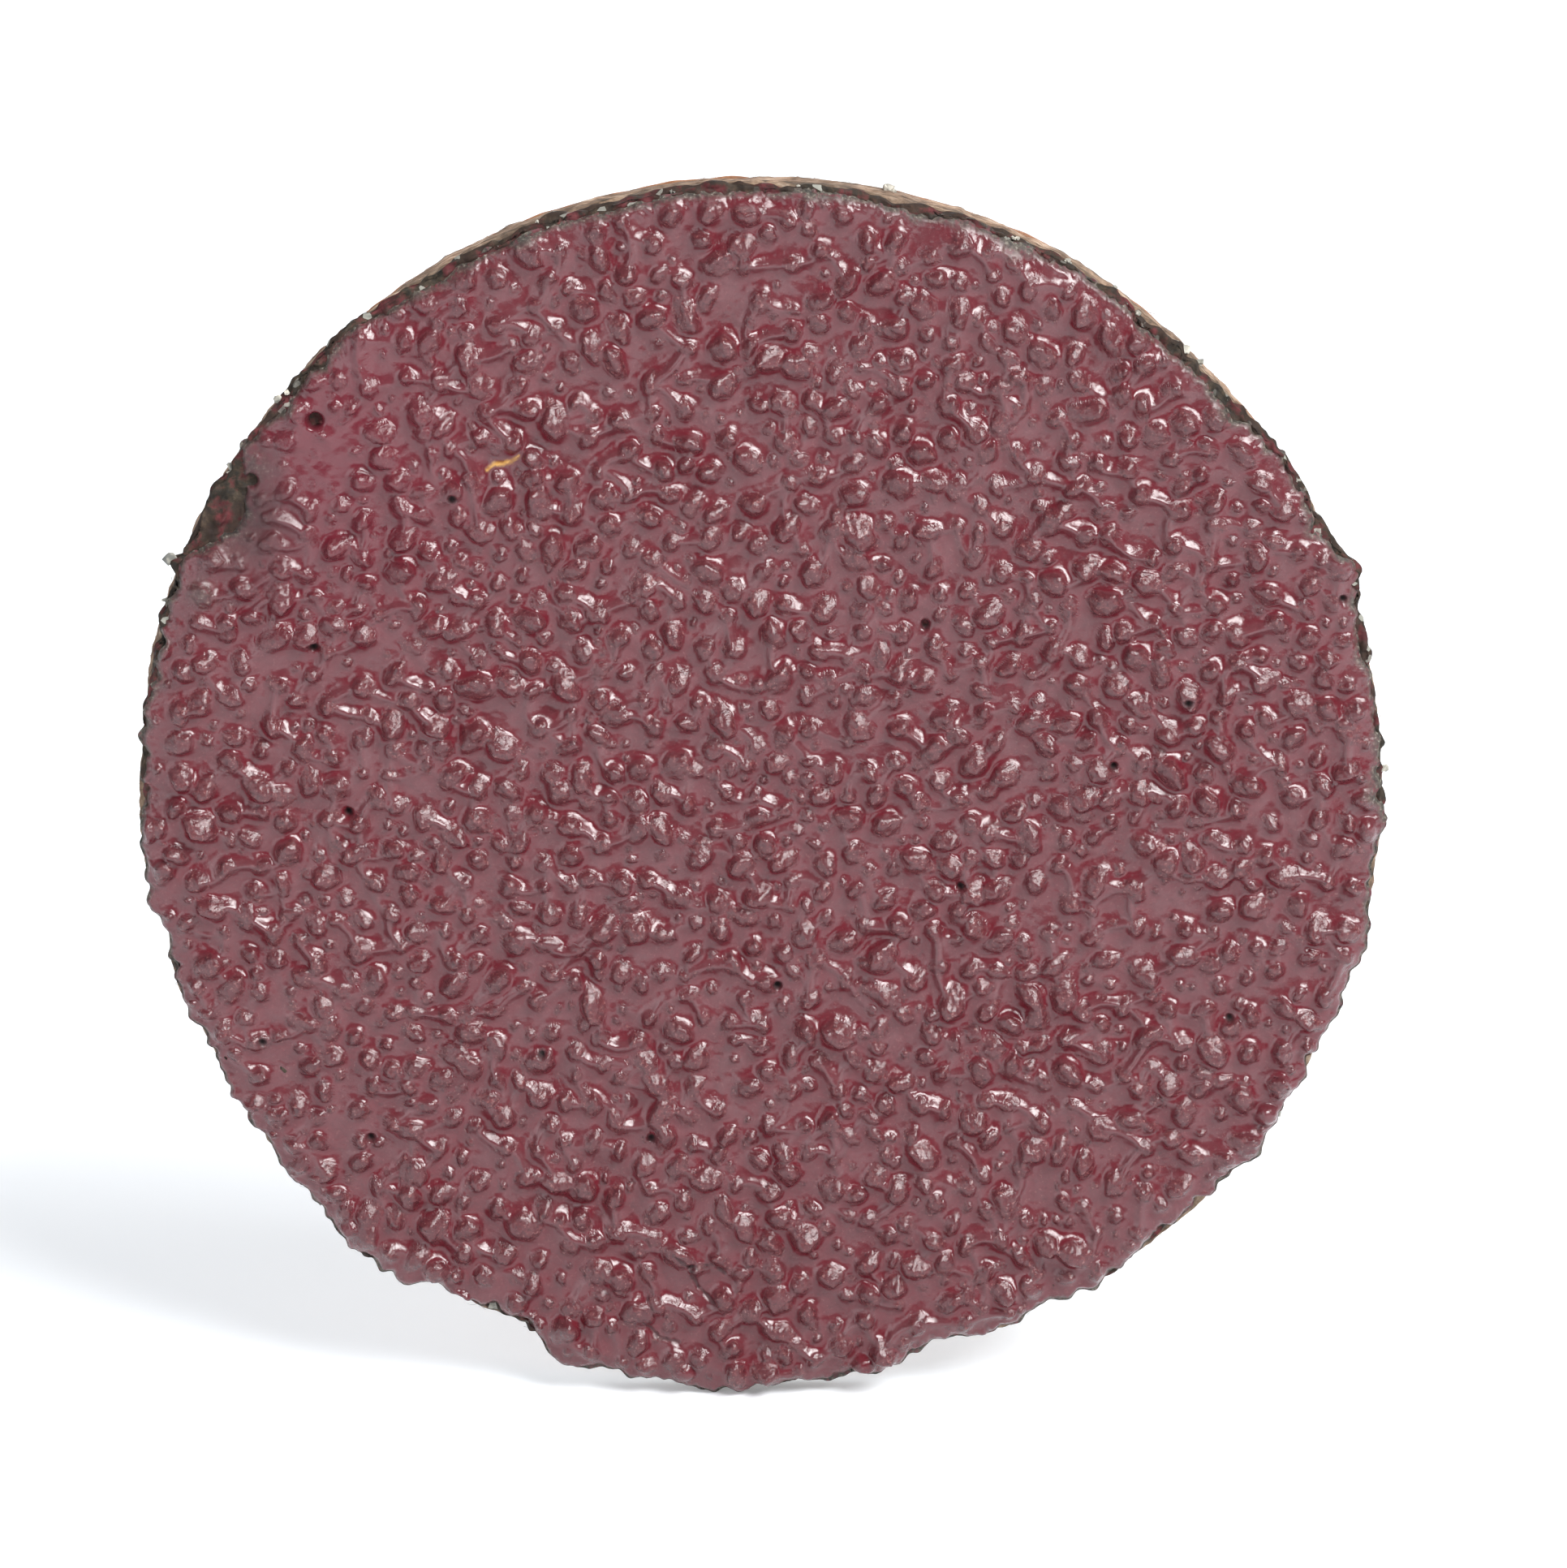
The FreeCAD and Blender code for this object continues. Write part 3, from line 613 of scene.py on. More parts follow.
def back_material():
    m = Mat("fibre_back", IOR=1.5)
    c = m.ramp(m.noise(3.4, 5, 0.62), (0.34, srgb(118, 76, 50)), (0.50, srgb(136, 90, 60)), (0.68, srgb(154, 106, 74)))
    hair = m.ramp(m.noise(0.35, 4, 0.7, (1, 1, 6), 1.2), (0.42, 0.0), (0.64, 0.75))
    c = m.mix(hair, c, srgb(172, 128, 92))
    hair2 = m.ramp(m.noise(0.30, 4, 0.7, (6, 1, 1), 1.2), (0.46, 0.0), (0.66, 0.6))
    c = m.mix(hair2, c, srgb(98, 60, 38))
    scuff = m.ramp(m.noise(1.2, 6, 0.75), (0.62, 0.0), (0.74, 0.4))
    c = m.mix(scuff, c, srgb(182, 150, 120))
    m.color(c)
    m.rough(m.ramp(m.noise(0.6, 4, 0.6), (0.3, 0.38), (0.7, 0.62)))
    m.bump(m.noise(0.45, 5, 0.68), 0.03, 0.6)
    return m.m


def nylon_material():
    m = Mat("moulded_nylon", IOR=1.53, Subsurface_Weight=0.12, Subsurface_Scale=0.0015)
    c = m.ramp(m.noise(5.0, 3, 0.5), (0.35, srgb(214, 209, 196)), (0.65, srgb(228, 224, 213)))
    flow = m.ramp(m.noise(1.2, 4, 0.6, (1, 3, 1)), (0.55, 0.0), (0.75, 0.5))
    c = m.mix(flow, c, srgb(198, 192, 176))
    m.color(c)
    m.rough(m.ramp(m.noise(0.3, 3, 0.6), (0.3, 0.34), (0.7, 0.50)))
    m.bump(m.noise(0.12, 3, 0.6), 0.008, 0.5)
    return m.m


def bead_material():
    m = Mat("amber_adhesive", IOR=1.52, Transmission_Weight=0.35, Subsurface_Weight=0.2, Subsurface_Scale=0.001)
    c = m.ramp(m.noise(0.9, 3, 0.5), (0.35, srgb(164, 128, 76)), (0.65, srgb(196, 164, 108)))
    bubbles = m.ramp(m.cells(0.22), (0.08, 1.0), (0.16, 0.0))
    c = m.mix(m.math("MULTIPLY", bubbles, 0.5), c, srgb(226, 206, 164))
    m.color(c)
    m.rough(m.ramp(m.noise(0.4, 2, 0.5), (0.3, 0.12), (0.7, 0.24)))
    m.bump(m.noise(0.5, 2, 0.5), 0.02, 0.4)
    return m.m


def crumb_material():
    m = Mat("mineral_crumb", IOR=1.7)
    c = m.ramp(m.noise(0.7, 4, 0.6), (0.36, srgb(96, 96, 90)), (0.52, srgb(158, 154, 142)), (0.66, srgb(214, 208, 194)))
    m.color(c)
    m.rough(m.ramp(m.noise(0.2, 2, 0.5), (0.3, 0.45), (0.7, 0.8)))
    m.bump(m.noise(0.08, 3, 0.6), 0.015, 0.8)
    return m.m


# ------------------------------------------------------------------ the face
WALLS = {}                                            # outlines of the visible layers, by node
coat_rim, make_rim = rim_of("size_coat", Y_POOL), rim_of("make_coat", Y_MAKE)
N = 620


def disc_grid(n):
    """Concentric-square grid: share of the radius and angle of n x n points."""
    a = np.linspace(-1, 1, n)
    A, B = np.meshgrid(a, a)
    big = np.abs(A) >= np.abs(B)
    rho = np.where(big, A, B)
    with np.errstate(divide="ignore", invalid="ignore"):
        phi = np.where(big, (math.pi / 4) * np.where(A == 0, 0, B / A),
                       math.pi / 2 - (math.pi / 4) * np.where(B == 0, 0, A / B))
    phi = np.where(rho < 0, phi + math.pi, phi)
    return np.abs(rho).ravel(), (phi % (2 * math.pi)).ravel()


def calm(deg):
    """The cut is cleaner over the top of the disc."""
    return 1 - 0.55 / (1 + np.exp(-(38 - np.abs(deg - 91)) / 4.0))


def build_face():
    rho, phi = disc_grid(N)
    ang_n = 4096
    tear = -0.075 * np.abs(ring_noise(65, ang_n, 60)) - 0.055 * np.abs(ring_noise(66, ang_n, 110)) + 0.07
    wob = (0.085 * ring_noise(61, ang_n, 20) + 0.030 * ring_noise(62, ang_n, 52) + tear) * calm(np.linspace(0, 360, ang_n))
    R = rim_at(coat_rim, phi) + np.interp(phi, np.linspace(0, 2 * math.pi, ang_n), wob)
    set_back = lambda a: 0.15 / (1 + np.exp(-(21 - np.abs(np.degrees(a) % 360 - 121)) / 3.0))
    R = R - set_back(phi)
    grid = np.linspace(0, 2 * math.pi, ang_n)
    wob = wob - set_back(grid)
    WALLS["size_coat"] = (grid, rim_at(coat_rim, grid) + wob)
    base = 25.4
    rad = rho * base + (R - base) * rho ** 10
    x, z = rad * np.cos(phi), rad * np.sin(phi)
    h = sample(u, x, z)
    back = R - rad                                    # distance in from the edge
    # the coat turns down over the last quarter of a millimetre
    turn = np.clip(1 - back / 0.26, 0, 1)
    h = h - (1 - np.sqrt(1 - 0.93 * turn ** 2)) * 0.42 * (0.65 + 0.35 * h / 0.5)
    h = h - 0.055 * np.abs(sample(RIM_F, x, z)) * np.clip(1 - back / 0.7, 0, 1)
    film = sample(skin, x, z)
    painted_shade_v = sample(painted_shade, x, z)
    # painted shade, darker towards the bare strip
    painted_shade_v = np.maximum(painted_shade_v, 0.46 * sample(spot(-20.6, 11.9, 1.9, 2.6), x, z))
    deg = np.degrees(phi)
    tone = sample(spot(-17.5, 14.5, 5.5, 6.5), x, z)
    painted_crease_shade_v = sample(painted_crease_shade, x, z)
    fleckv = sample(fleck, x, z)
    edge_dust = ring_noise(63, ang_n, 40)
    reach = 0.10 + 0.34 * np.exp(0.55 * np.interp(phi, np.linspace(0, 2 * math.pi, ang_n), edge_dust) - 0.5)
    low_side = 1 / (1 + np.exp(-(84 - np.abs(deg - 268)) / 6.0))      # the lower edge is torn clean
    dust = np.clip(1.15 * (1 - back / (reach * (1 - 0.70 * low_side))), 0, 1)
    upper = 1 / (1 + np.exp(-(84 - np.abs(deg - 92)) / 5.0))
    dust = np.maximum(dust, 0.24 * upper * np.clip(1 - back / 0.35, 0, 1))
    for cx, cz, rx, rz, much in ((-21.3, 12.2, 1.4, 2.0, 0.48), (-20.5, 13.9, 0.9, 0.8, 0.55), (-22.6, 8.7, 0.6, 0.7, 0.5)):
        dust = np.maximum(dust, much * sample(spot(cx, cz, rx, rz), x, z))
    co = np.stack([x, Y_MAKE - h, z], 1)
    i = np.arange(N - 1)
    I, J = np.meshgrid(i, i)
    v = (J * N + I).ravel()
    quads = np.stack([v, v + 1, v + N + 1, v + N], 1)
    # boundary in order, then the cut wall down to the make coat
    edge = ([k for k in range(N)] + [r * N + N - 1 for r in range(1, N)]
            + [(N - 1) * N + c for c in range(N - 2, -1, -1)] + [r * N for r in range(N - 2, 0, -1)])
    edge = np.array(edge)
    n = len(edge)
    rows = 7
    wx, wz, wh = x[edge], z[edge], h[edge]
    rr = np.hypot(wx, wz)
    noise = sheet_noise(64, 16, n, 8, 4)
    extra = []
    add = [[], [], [], [], [], []]
    for r in range(1, rows + 1):
        t = r / rows
        hh = wh * (1 - t) - 0.05 * t
        rad_r = rr + 0.035 * math.sin(math.pi * min(1, t * 1.2)) + 0.060 * noise[r % 16] * min(1, 1.5 * t)
        extra.append(np.stack([wx / rr * rad_r, Y_MAKE - hh, wz / rr * rad_r], 1))
        add[0].append(np.full(n, 0.3)); add[1].append(np.zeros(n)); add[2].append(tone[edge])
        add[3].append(np.clip(dust[edge] + 0.9 * t, 0, 1)); add[4].append(np.zeros(n)); add[5].append(np.zeros(n))
    # the rear of the coat, closed by a fan of rings
    for share in (0.9, 0.6, 0.3):
        extra.append(np.stack([wx * share, np.full(n, Y_MAKE + 0.05), wz * share], 1))
        for k_ in range(6):
            add[k_].append(np.zeros(n))
    base_i = len(co)
    wall = np.concatenate([edge] + [base_i + r * n + np.arange(n) for r in range(len(extra))])
    ring = ring_grid(len(extra) + 1, n)
    quads = np.concatenate([quads[:, ::-1], wall[ring]])
    co = np.concatenate([co] + extra + [np.array([[0, Y_MAKE + 0.05, 0]])])
    centre = len(co) - 1
    last = base_i + (len(extra) - 1) * n
    attrs = {"film": film, "painted_shade": painted_shade_v, "tone": tone, "dust": dust, "painted_crease_shade": painted_crease_shade_v, "fleck": fleckv}
    attrs = {key: np.concatenate([attrs[key]] + add[q] + [np.zeros(1)])
             for q, key in enumerate(("film", "painted_shade", "tone", "dust", "painted_crease_shade", "fleck"))}
    o = new_mesh("size_coat_resin", co, quads, attrs)
    bm = bmesh.new(); bm.from_mesh(o.data)
    bm.verts.ensure_lookup_table()
    for q in range(n):
        bm.faces.new((bm.verts[last + q], bm.verts[last + (q + 1) % n], bm.verts[centre])).smooth = True
    bmesh.ops.recalc_face_normals(bm, faces=bm.faces)
    bm.to_mesh(o.data); bm.free()
    return o


def rock_mesh(name, rock_list, seed):
    co, tri, base = [], [], 0
    for x, z, c, t in rock_list:
        up = np.maximum(c[:, 1], 0)                # the resin film covers each grain all over
        px, pz = c[:, 0] * 0.84 + x, c[:, 2] * 0.84 + z
        reach = np.hypot(c[:, 0], c[:, 2]).max() * 0.84
        if any(math.hypot(x - hx, z - hz) < reach + hr for hx, hz, hr, _ in PINHOLES):
            continue
        back = np.interp(np.arctan2(pz, px) % (2 * math.pi), *WALLS["size_coat"]) - np.hypot(px, pz)
        if back.min() < 0.12:
            continue
        turn = np.clip(1 - back / 0.26, 0, 1)
        roof = sample(u, px, pz) - 0.055 * np.abs(sample(RIM_F, px, pz)) * np.clip(1 - back / 0.7, 0, 1)
        roof = roof - (1 - np.sqrt(1 - 0.93 * turn ** 2)) * 0.42 * (0.65 + 0.35 * roof / 0.5) - 0.06
        up = np.where(up > 0, np.maximum(np.minimum(up * 0.86, roof), 0.02), 0)
        co.append(np.stack([px, Y_MAKE - up + np.where(up <= 0, 0.02, 0), pz], 1))
        tri.append(t + base)
        base += len(c)
    o = new_mesh(name, np.concatenate(co), np.concatenate(tri), smooth=False)
    bm = bmesh.new(); bm.from_mesh(o.data)
    bmesh.ops.recalc_face_normals(bm, faces=bm.faces)
    bm.to_mesh(o.data); bm.free()
    return o


# ------------------------------------------------------------------ layers behind the resin
RN = 1440
RA = np.linspace(0, 2 * math.pi, RN, endpoint=False)


def layer(name, radius, y_front, y_rear, front_field=None, side_amp=0.03, seed=70, side_rows=6,
          side_step=10, row_step=3, rear_field=None, inner=(24.6, 22.0, 14.0, 5.0)):
    """A laminate layer with a torn edge, closed back and front."""
    cs, sn = np.cos(RA), np.sin(RA)
    noise = sheet_noise(seed, 16, RN, side_step, row_step)
    rows = []
    front = [25.3 - 0.055 * q for q in range(1, 62)] if front_field is not None else []
    radii_in = sorted([r for r in inner if not front or r < front[-1] - 0.1])
    follow = radius / 25.4
    for r in radii_in:
        rows.append((r * follow, np.full(RN, y_front)))
    for q in range(len(front) - 1, -1, -1):
        share = (q + 1) * 0.055
        r = radius - share
        y = y_front - front_field(r * cs, r * sn)
        rows.append((r, y))
    for s in range(side_rows + 1):
        t = s / side_rows
        y = np.full(RN, y_front + (y_rear - y_front) * t)
        soft = 0.035 * (abs(2 * t - 1) ** 4)
        r = radius + side_amp * noise[s % 16] - soft
        if s == 0 and front_field is not None:
            y = y - front_field(r * cs, r * sn)
        rows.append((r, y))
    for r in radii_in[::-1]:
        y = np.full(RN, y_rear)
        r = r * follow
        rows.append((r, y if rear_field is None else y + rear_field(r * cs, r * sn)))
    co = np.concatenate([np.stack([r * cs, y, r * sn], 1) for r, y in rows]
                        + [np.array([[0, y_front, 0], [0, y_rear, 0]])])
    quads = ring_grid(len(rows), RN)
    faces = [tuple(q) for q in quads]
    c0, c1 = len(co) - 2, len(co) - 1
    lastrow = (len(rows) - 1) * RN
    for q in range(RN):
        faces.append(((q + 1) % RN, q, c0))
        faces.append((lastrow + q, lastrow + (q + 1) % RN, c1))
    o = new_mesh(name, co, faces)
    bm = bmesh.new(); bm.from_mesh(o.data)
    bmesh.ops.recalc_face_normals(bm, faces=bm.faces)
    bm.to_mesh(o.data); bm.free()
    return o


def build_make():
    rough = (0.050 * field(71, 0.42) + 0.022 * field(72, 0.16)).astype(np.float32)
    lumps = np.maximum(field(73, 0.62) - 1.0, 0).astype(np.float32) * 0.16
    surface = np.clip(rough + lumps, -0.03, 0.30)
    def bumps(x, z):
        r = np.hypot(x, z)
        return np.where(r > 22.2, sample(surface, x, z), 0.0)
    R = rim_at(make_rim, RA) + (0.060 * ring_noise(74, RN, 6) + 0.03 * ring_noise(75, RN, 18)) * calm(np.degrees(RA))
    # it shows only over the upper half; round the lower half the size coat covers it
    low = np.abs((np.degrees(RA) - 272 + 180) % 360 - 180)
    R = R - 0.27 / (1 + np.exp(-(91 - low) / 4.0))
    WALLS["make_coat"] = (RA, R)
    return layer("make_coat_resin", R, Y_MAKE, Y_P3, bumps, 0.085, 76, 8, 6, 2.0)


def build_ply(name, node, y_front, y_rear, seed):
    R = rim_at(rim_of(node, (y_front)), RA) + 0.018 * ring_noise(seed, RN, 14) + 0.02 * ring_noise(seed + 1, RN, 5)
    WALLS[node] = (RA, R)
    o = layer(name, R, y_front, y_rear, None, 0.032, seed + 2, 7, 16, 2.2)
    # loose fibre ends standing off the cut edge
    rng = np.random.default_rng(seed + 3)
    co, faces = [], []
    for _ in range(150):
        a = rng.uniform(0, 2 * math.pi)
        rr = float(np.interp(a, RA, R, period=2 * math.pi)) - 0.05
        y = rng.uniform(y_front, y_rear)
        length, w = rng.uniform(0.15, 0.55), rng.uniform(0.007, 0.014)
        tan = rng.choice((-1, 1)) * rng.uniform(0.6, 1.0)
        curl, rise = rng.uniform(0.0, 0.5), rng.uniform(-0.25, 0.25)
        b = len(co)
        segs = 6
        for s in range(segs + 1):
            t = s / segs
            d_out = 0.05 + length * (0.30 * math.sin(t * math.pi * 0.6) + 0.05)
            if s == 0:
                d_out = 0.0
            r = rr + d_out
            th = a + tan * length * t / rr
            yy = y + rise * length * t + curl * length * 0.2 * t * t
            ww = w * (1 - 0.75 * t)
            for q in range(3):
                qa = 2 * math.pi * q / 3
                r2, y2 = r + ww * math.cos(qa), yy + ww * math.sin(qa)
                co.append((r2 * math.cos(th), y2, r2 * math.sin(th)))
        for s in range(segs):
            for q in range(3):
                p0, p1 = b + s * 3 + q, b + s * 3 + (q + 1) % 3
                faces.append((p0, p1, p1 + 3, p0 + 3))
        faces.append((b + 2, b + 1, b))
        faces.append((b + segs * 3, b + segs * 3 + 1, b + segs * 3 + 2))
    hairs = new_mesh(name + "_hair", co, faces)
    bm = bmesh.new()
    bm.from_mesh(o.data)
    bm.from_mesh(hairs.data)
    bmesh.ops.recalc_face_normals(bm, faces=bm.faces)
    bm.to_mesh(o.data); bm.free()
    bpy.data.objects.remove(hairs)
    for p in o.data.polygons:
        p.use_smooth = True
    return o


# ------------------------------------------------------------------ stud, bead, crumbs
def build_stud():
    n = 240
    core, crest, lead = 3.95, 4.75, 3.6
    collar_r, collar_l, hole_r, hole_l = 5.2, 1.4, 1.6, 4.2
    a = np.linspace(0, 2 * math.pi, n, endpoint=False)
    cs, sn = np.cos(a), np.sin(a)
    rows = []

    def row(r, y):
        rows.append((np.broadcast_to(np.asarray(r, float), (n,)), np.broadcast_to(np.asarray(y, float), (n,))))

    def arc(cx, cy, r, a0, a1, steps=5):
        for s in range(steps + 1):
            t = math.radians(a0 + (a1 - a0) * s / steps)
            row(cx + r * math.cos(t), cy + r * math.sin(t))

    yf = -1.20
    row(0.02, yf); row(4.0, yf); row(8.0, yf)
    arc(8.65, yf + 0.10, 0.10, -90, 0, 4)             # flange rim, front corner
    arc(8.62, yf + 0.37, 0.13, 0, 75, 5)              # flange rim, rear corner
    for t in np.linspace(0.06, 0.94, 10):             # the flange's shallow cone
        row(8.60 + (7.25 - 8.60) * t, yf + 0.50 + (0.0 - (yf + 0.50)) * t)
    row(7.17, -0.012); row(7.10, 0.0)
    row(6.4, 0.0); row(5.55, 0.0)
    arc(5.32, 0.12, 0.12, -90, -180, 4)               # fillet into the collar
    row(collar_r, 0.4); row(collar_r, 0.8)
    arc(collar_r - 0.18, collar_l - 0.18, 0.18, 0, 90, 5)
    row(4.6, collar_l); row(4.25, collar_l)
    # thread: radius at each height is the core plus the ridge, with rounded flanks
    ys = np.arange(collar_l + 0.02, STUD_L - 0.30, 0.05)
    for y in ys:
        phase = ((y + a / (2 * math.pi) * lead + 1.2) % lead) - lead / 2
        d = np.abs(phase)
        ridge = np.clip((0.95 - d) / 0.47, 0, 1)
        ridge = ridge * ridge * (3 - 2 * ridge)
        grow = np.clip((y - collar_l) / 0.5, 0, 1) ** 0.7 if y < collar_l + 0.5 else 1.0
        fade = np.clip((STUD_L - 0.32 - y) / 0.85, 0, 1)
        r = core + (crest - core) * ridge * min(1.0, fade * 1.05) * (0.35 + 0.65 * grow)
        fil = 0.16 * max(0.0, 1 - (y - collar_l) / 0.16) ** 2
        row(r + fil, y)
    arc(core - 0.28, STUD_L - 0.28, 0.28, 0, 90, 6)
    row(2.9, STUD_L); row(2.0, STUD_L)
    arc(hole_r + 0.12, STUD_L - 0.12, 0.12, 90, 180, 4)
    for t in (0.25, 0.5, 0.75, 0.92):
        row(hole_r - 0.03 * t, STUD_L - 0.12 - (hole_l - 0.5) * t)
    arc(hole_r - 0.42, STUD_L - hole_l + 0.40, 0.40, 0, -90, 6)
    row(0.6, STUD_L - hole_l); row(0.02, STUD_L - hole_l)
    rad = np.array([r for r, _ in rows]); yy = np.array([y for _, y in rows])
    # a faint parting line on two sides of the stud and a slight sink in the flange
    on = np.exp(-((np.abs((a + math.pi / 2) % math.pi - math.pi / 2)) / 0.018) ** 2)
    body = (rad > 3.0) & (yy > 0.02) & (yy < STUD_L - 0.02)
    rad = rad + 0.028 * on[None, :] * body
    sink = 0.02 * np.sin(3 * a)[None, :] * ((yy < 0.0) & (yy > -1.0) & (rad > 5.5))
    yy = yy + sink
    co = np.stack([rad * cs, yy, rad * sn], 2).reshape(-1, 3)
    faces = [tuple(q) for q in ring_grid(len(rows), n)]
    last = (len(rows) - 1) * n
    faces.append(tuple(range(n)))
    faces.append(tuple(last + q for q in range(n))[::-1])
    o = new_mesh("nylon_stud", co, faces)
    bm = bmesh.new(); bm.from_mesh(o.data)
    bmesh.ops.recalc_face_normals(bm, faces=bm.faces)
    bm.to_mesh(o.data); bm.free()
    return o


def build_bead():
    n = 360
    a = np.linspace(0, 2 * math.pi, n, endpoint=False)
    cs, sn = np.cos(a), np.sin(a)
    w = ring_noise(81, n, 16) * 0.10 + ring_noise(82, n, 44) * 0.13
    blob = 0.30 * np.exp(-((np.degrees(a) - 212) / 9) ** 2) + 0.22 * np.exp(-((np.degrees(a) - 38) / 7) ** 2)
    out = 9.30 + w + blob
    hgt = 0.42 + 0.05 * ring_noise(83, n, 20)
    rows = [(np.full(n, 0.05), np.full(n, Y_REAR - 0.02)), (np.full(n, 6.0), np.full(n, Y_REAR - 0.02)),
            (out + 0.02, np.full(n, Y_REAR - 0.02)), (out, np.full(n, Y_REAR + 0.02))]
    for t in np.linspace(12, 90, 9):
        q = math.radians(t)
        rows.append((8.72 + (out - 8.72) * math.cos(q) ** 0.9, Y_REAR + 0.02 + hgt * math.sin(q)))
    rows.append((np.full(n, 8.60), Y_REAR + hgt - 0.02))
    rows.append((np.full(n, 8.55), np.full(n, Y_REAR + 0.11)))
    rows.append((np.full(n, 0.05), np.full(n, Y_REAR + 0.11)))
    co = np.concatenate([np.stack([r * cs, y, r * sn], 1) for r, y in rows])
    faces = [tuple(q) for q in ring_grid(len(rows), n)]
    faces.append(tuple(range(n)))
    faces.append(tuple((len(rows) - 1) * n + q for q in range(n))[::-1])
    o = new_mesh("adhesive_bead", co, faces)
    bm = bmesh.new(); bm.from_mesh(o.data)
    bmesh.ops.recalc_face_normals(bm, faces=bm.faces)
    bm.to_mesh(o.data); bm.free()
    return o


def wall_at(ang, y):
    """Radius of the visible cut edge at an angle and a height through the laminate."""
    at = lambda key: float(np.interp(ang % (2 * math.pi), WALLS[key][0], WALLS[key][1], period=2 * math.pi))
    if y < Y_P3:
        return max(at("make_coat"), at("size_coat") - 0.08)
    return at("fibre_front_ply" if y < Y_P2 else "fibre_core_ply" if y < Y_P1 else "fibre_rear_ply")


def build_crumbs():
    co_all, parts = islands("edge_crumbs")
    rng = np.random.default_rng(91)
    co, tri, base = [], [], 0
    centres = sorted([tuple((co_all[i].max(0) + co_all[i].min(0)) / 2) + (float((co_all[i].max(0) - co_all[i].min(0)).max()),) for i in parts])
    for cx, cy, cz, size in centres:
        for lump in range(rng.integers(1, 4)):
            s = size * (0.62 if lump == 0 else rng.uniform(0.26, 0.42))
            ang, y = math.atan2(cz, cx), cy
            if lump:
                ang += rng.normal(0, 0.40) * size / 25.4
                y += rng.normal(0, 0.20) * size
            # every chip is set a little way into the cut edge
            r = wall_at(ang, y) + s * (0.36 if lump == 0 else 0.28)
            p = rng.normal(0, 1, (16, 3))
            p /= np.linalg.norm(p, axis=1)[:, None]
            p *= s * rng.uniform(0.75, 1.05, (16, 1)) * np.array([1.0, 0.8, 0.9])
            c, t = hull(p)
            co.append(c + np.array([r * math.cos(ang), y, r * math.sin(ang)]))
            tri.append(t + base)
            base += len(c)
    o = new_mesh("mineral_crumbs", np.concatenate(co), np.concatenate(tri), smooth=False)
    bm = bmesh.new(); bm.from_mesh(o.data)
    bmesh.ops.subdivide_edges(bm, edges=bm.edges, cuts=1, use_grid_fill=True)
    bmesh.ops.recalc_face_normals(bm, faces=bm.faces)
    for v in bm.verts:
        v.co += Vector(rng.normal(0, 0.010, 3) * MM)
    bm.to_mesh(o.data); bm.free()
    return o


resin = resin_material()
place(build_face(), "size_coat", resin, "size_coat")
place(rock_mesh("coarse_grain_rocks", coarse, 1), "coarse_grain",
      grain_material("coarse_mineral", srgb(150, 84, 70), srgb(172, 116, 98)), "coarse_grain")
place(rock_mesh("fine_grain_rocks", fine, 2), "fine_grain",
      grain_material("fine_mineral", srgb(142, 78, 66), srgb(164, 108, 92)), "fine_grain")
place(build_make(), "make_coat", make_material(), "make_coat")
tan, brown, dark_brown = srgb(182, 156, 134), srgb(142, 116, 96), srgb(76, 62, 52)
place(build_ply("fibre_front_sheet", "fibre_front_ply", Y_P3, Y_P2, 101), "fibre_front_ply",
      fibre_edge_material("fibre_front", srgb(158, 134, 112), srgb(114, 92, 74), srgb(54, 47, 40)), "fibre_front_ply")
place(build_ply("fibre_core_sheet", "fibre_core_ply", Y_P2, Y_P1, 111), "fibre_core_ply",
      fibre_edge_material("fibre_core", tan, brown, dark_brown), "fibre_core_ply")
place(build_ply("fibre_rear_sheet", "fibre_rear_ply", Y_P1, Y_FILM, 121), "fibre_rear_ply",
      fibre_edge_material("fibre_rear", tan, brown, dark_brown), "fibre_rear_ply")
film_r = rim_at(rim_of("back_size_film", Y_REAR), RA) + 0.012 * ring_noise(131, RN, 12)
place(layer("back_film", film_r, Y_FILM, Y_REAR, None, 0.012, 132, 3, 12, 2,
            inner=tuple(np.linspace(5, 25.0, 28))), "back_size_film", back_material(), "back_size_film")
place(build_stud(), "quick_change_stud", nylon_material(), "quick_change_stud")
place(build_bead(), "stud_bond_adhesive", bead_material(), "stud_bond_adhesive")
place(build_crumbs(), "edge_crumbs", crumb_material(), "edge_crumbs")

# ------------------------------------------------------------------ stage, light, camera
scene = bpy.context.scene
bpy.context.view_layer.update()
OBJ_LO, OBJ_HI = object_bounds()
floor_z = OBJ_LO.z - 0.00002

bm = bmesh.new()
prof = [(-1.6, 0.0), (-0.8, 0.0), (0.0, 0.0), (0.35, 0.0)]
for q in range(13):
    t = math.radians(90 * q / 12)
    prof.append((0.35 + 0.35 * math.sin(t), 0.35 * (1 - math.cos(t))))
prof += [(0.70, 0.8), (0.70, 1.6)]
grid = [[bm.verts.new((x, y, floor_z + zz)) for x in np.linspace(-1.8, 1.8, 5)] for y, zz in prof]
for r0, r1 in zip(grid, grid[1:]):
    for q in range(4):
        bm.faces.new((r0[q], r0[q + 1], r1[q + 1], r1[q])).smooth = True
me = bpy.data.meshes.new("sweep")
bm.to_mesh(me); bm.free()
sweep = bpy.data.objects.new("sweep", me)
scene.collection.objects.link(sweep)
paper = Mat("white_sweep", Roughness=0.9, IOR=1.3)
paper.bsdf.inputs["Base Color"].default_value = (0.865, 0.90, 0.93, 1)
paper.bsdf.inputs["Emission Color"].default_value = (1, 1, 1, 1)
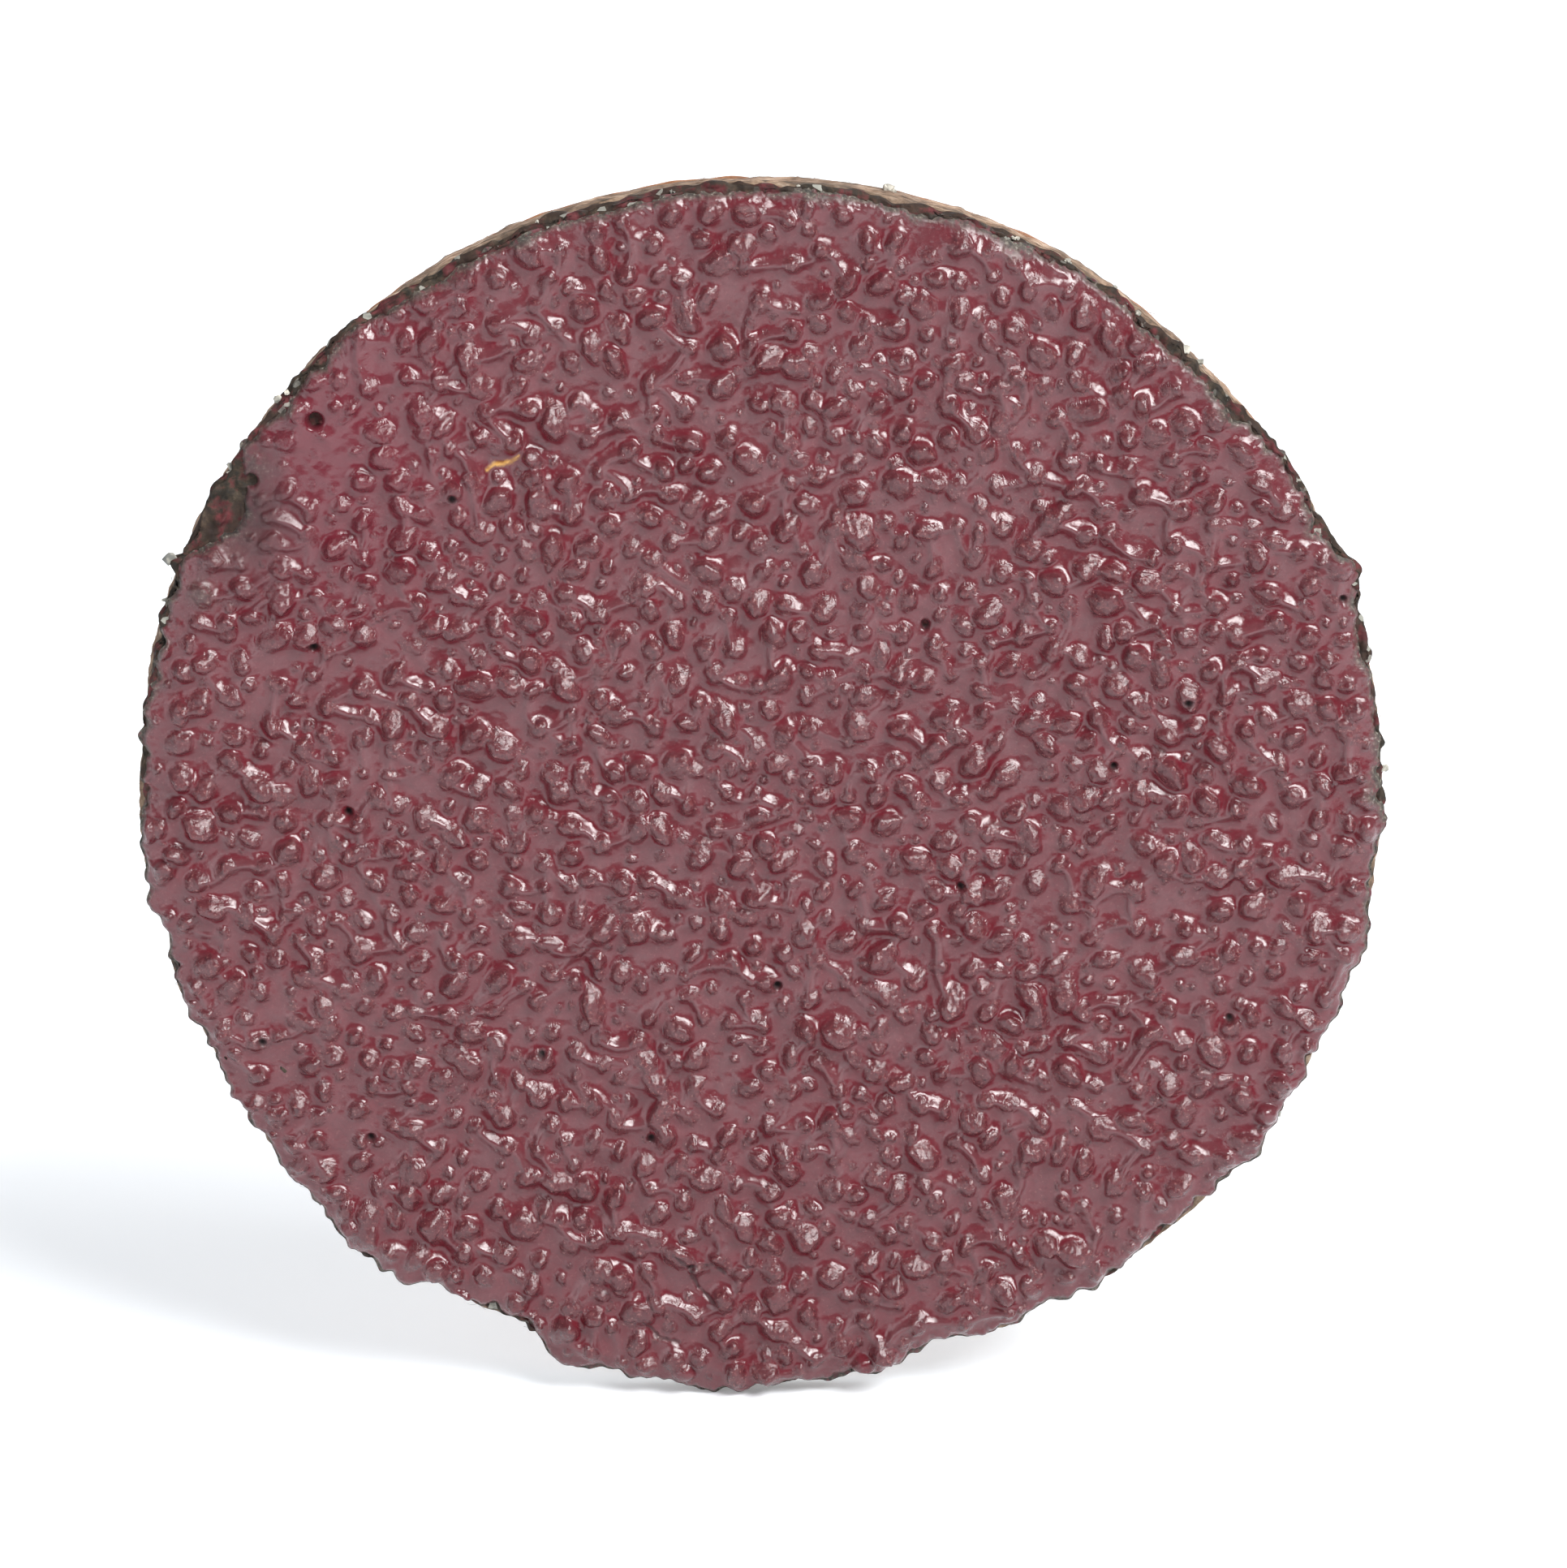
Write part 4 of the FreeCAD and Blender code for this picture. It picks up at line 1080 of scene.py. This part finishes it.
paper.bsdf.inputs["Emission Strength"].default_value = 0.175
me.materials.append(paper.m)
sweep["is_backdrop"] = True

world = bpy.data.worlds.new("room") if scene.world is None else scene.world
scene.world = world
world.use_nodes = True
bg = world.node_tree.nodes["Background"]
bg.inputs["Color"].default_value = (0.97, 0.97, 1.0, 1)
bg.inputs["Strength"].default_value = 0.20


def area(name, pos, target, size, watts, color=(1, 1, 1), size_y=None):
    d = bpy.data.lights.new(name, "AREA")
    d.energy, d.color, d.size = watts, color, size
    if size_y:
        d.shape, d.size_y = "RECTANGLE", size_y
    o = bpy.data.objects.new(name, d)
    o.location = pos
    o.rotation_euler = (Vector(target) - Vector(pos)).to_track_quat("-Z", "Y").to_euler()
    scene.collection.objects.link(o)
    return o


area("key", (0.34, -0.36, 0.46), (0, 0, 0), 0.40, 7.0, (1.0, 0.99, 0.99), 0.30)
area("fill", (-0.50, -0.50, 0.22), (0, 0, 0), 0.50, 1.7, (0.97, 0.96, 1.0))
area("top", (0.0, 0.25, 0.75), (0, 0.1, 0), 0.6, 1.2, (1, 1, 1))
area("back_wash", (0.0, 0.45, 0.55), (0, 0.45, -0.02), 0.6, 1.0)

FACE_C = Vector((0, (Y_POOL) * MM, 0))
ELEV, DIST = math.radians(16.0), 0.3048
back_dir = Vector((0, -math.cos(ELEV), math.sin(ELEV)))
up_dir = Vector((0, math.sin(ELEV), math.cos(ELEV)))
aim = FACE_C + Vector((1, 0, 0)) * 0.000954 + up_dir * 0.00060
cam_d = bpy.data.cameras.new("camera")
cam_d.lens, cam_d.sensor_width = 171.6, 36.0
cam_d.clip_start, cam_d.clip_end = 0.01, 20
cam = bpy.data.objects.new("camera", cam_d)
cam.location = aim + back_dir * DIST
cam.rotation_euler = (-back_dir).to_track_quat("-Z", "Y").to_euler()
scene.collection.objects.link(cam)
scene.camera = cam
scene.view_settings.view_transform = "Standard"
scene.view_settings.look = "None"
scene.view_settings.exposure = 0.0
scene.view_settings.gamma = 1.0

OBJ_LO, OBJ_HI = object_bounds()
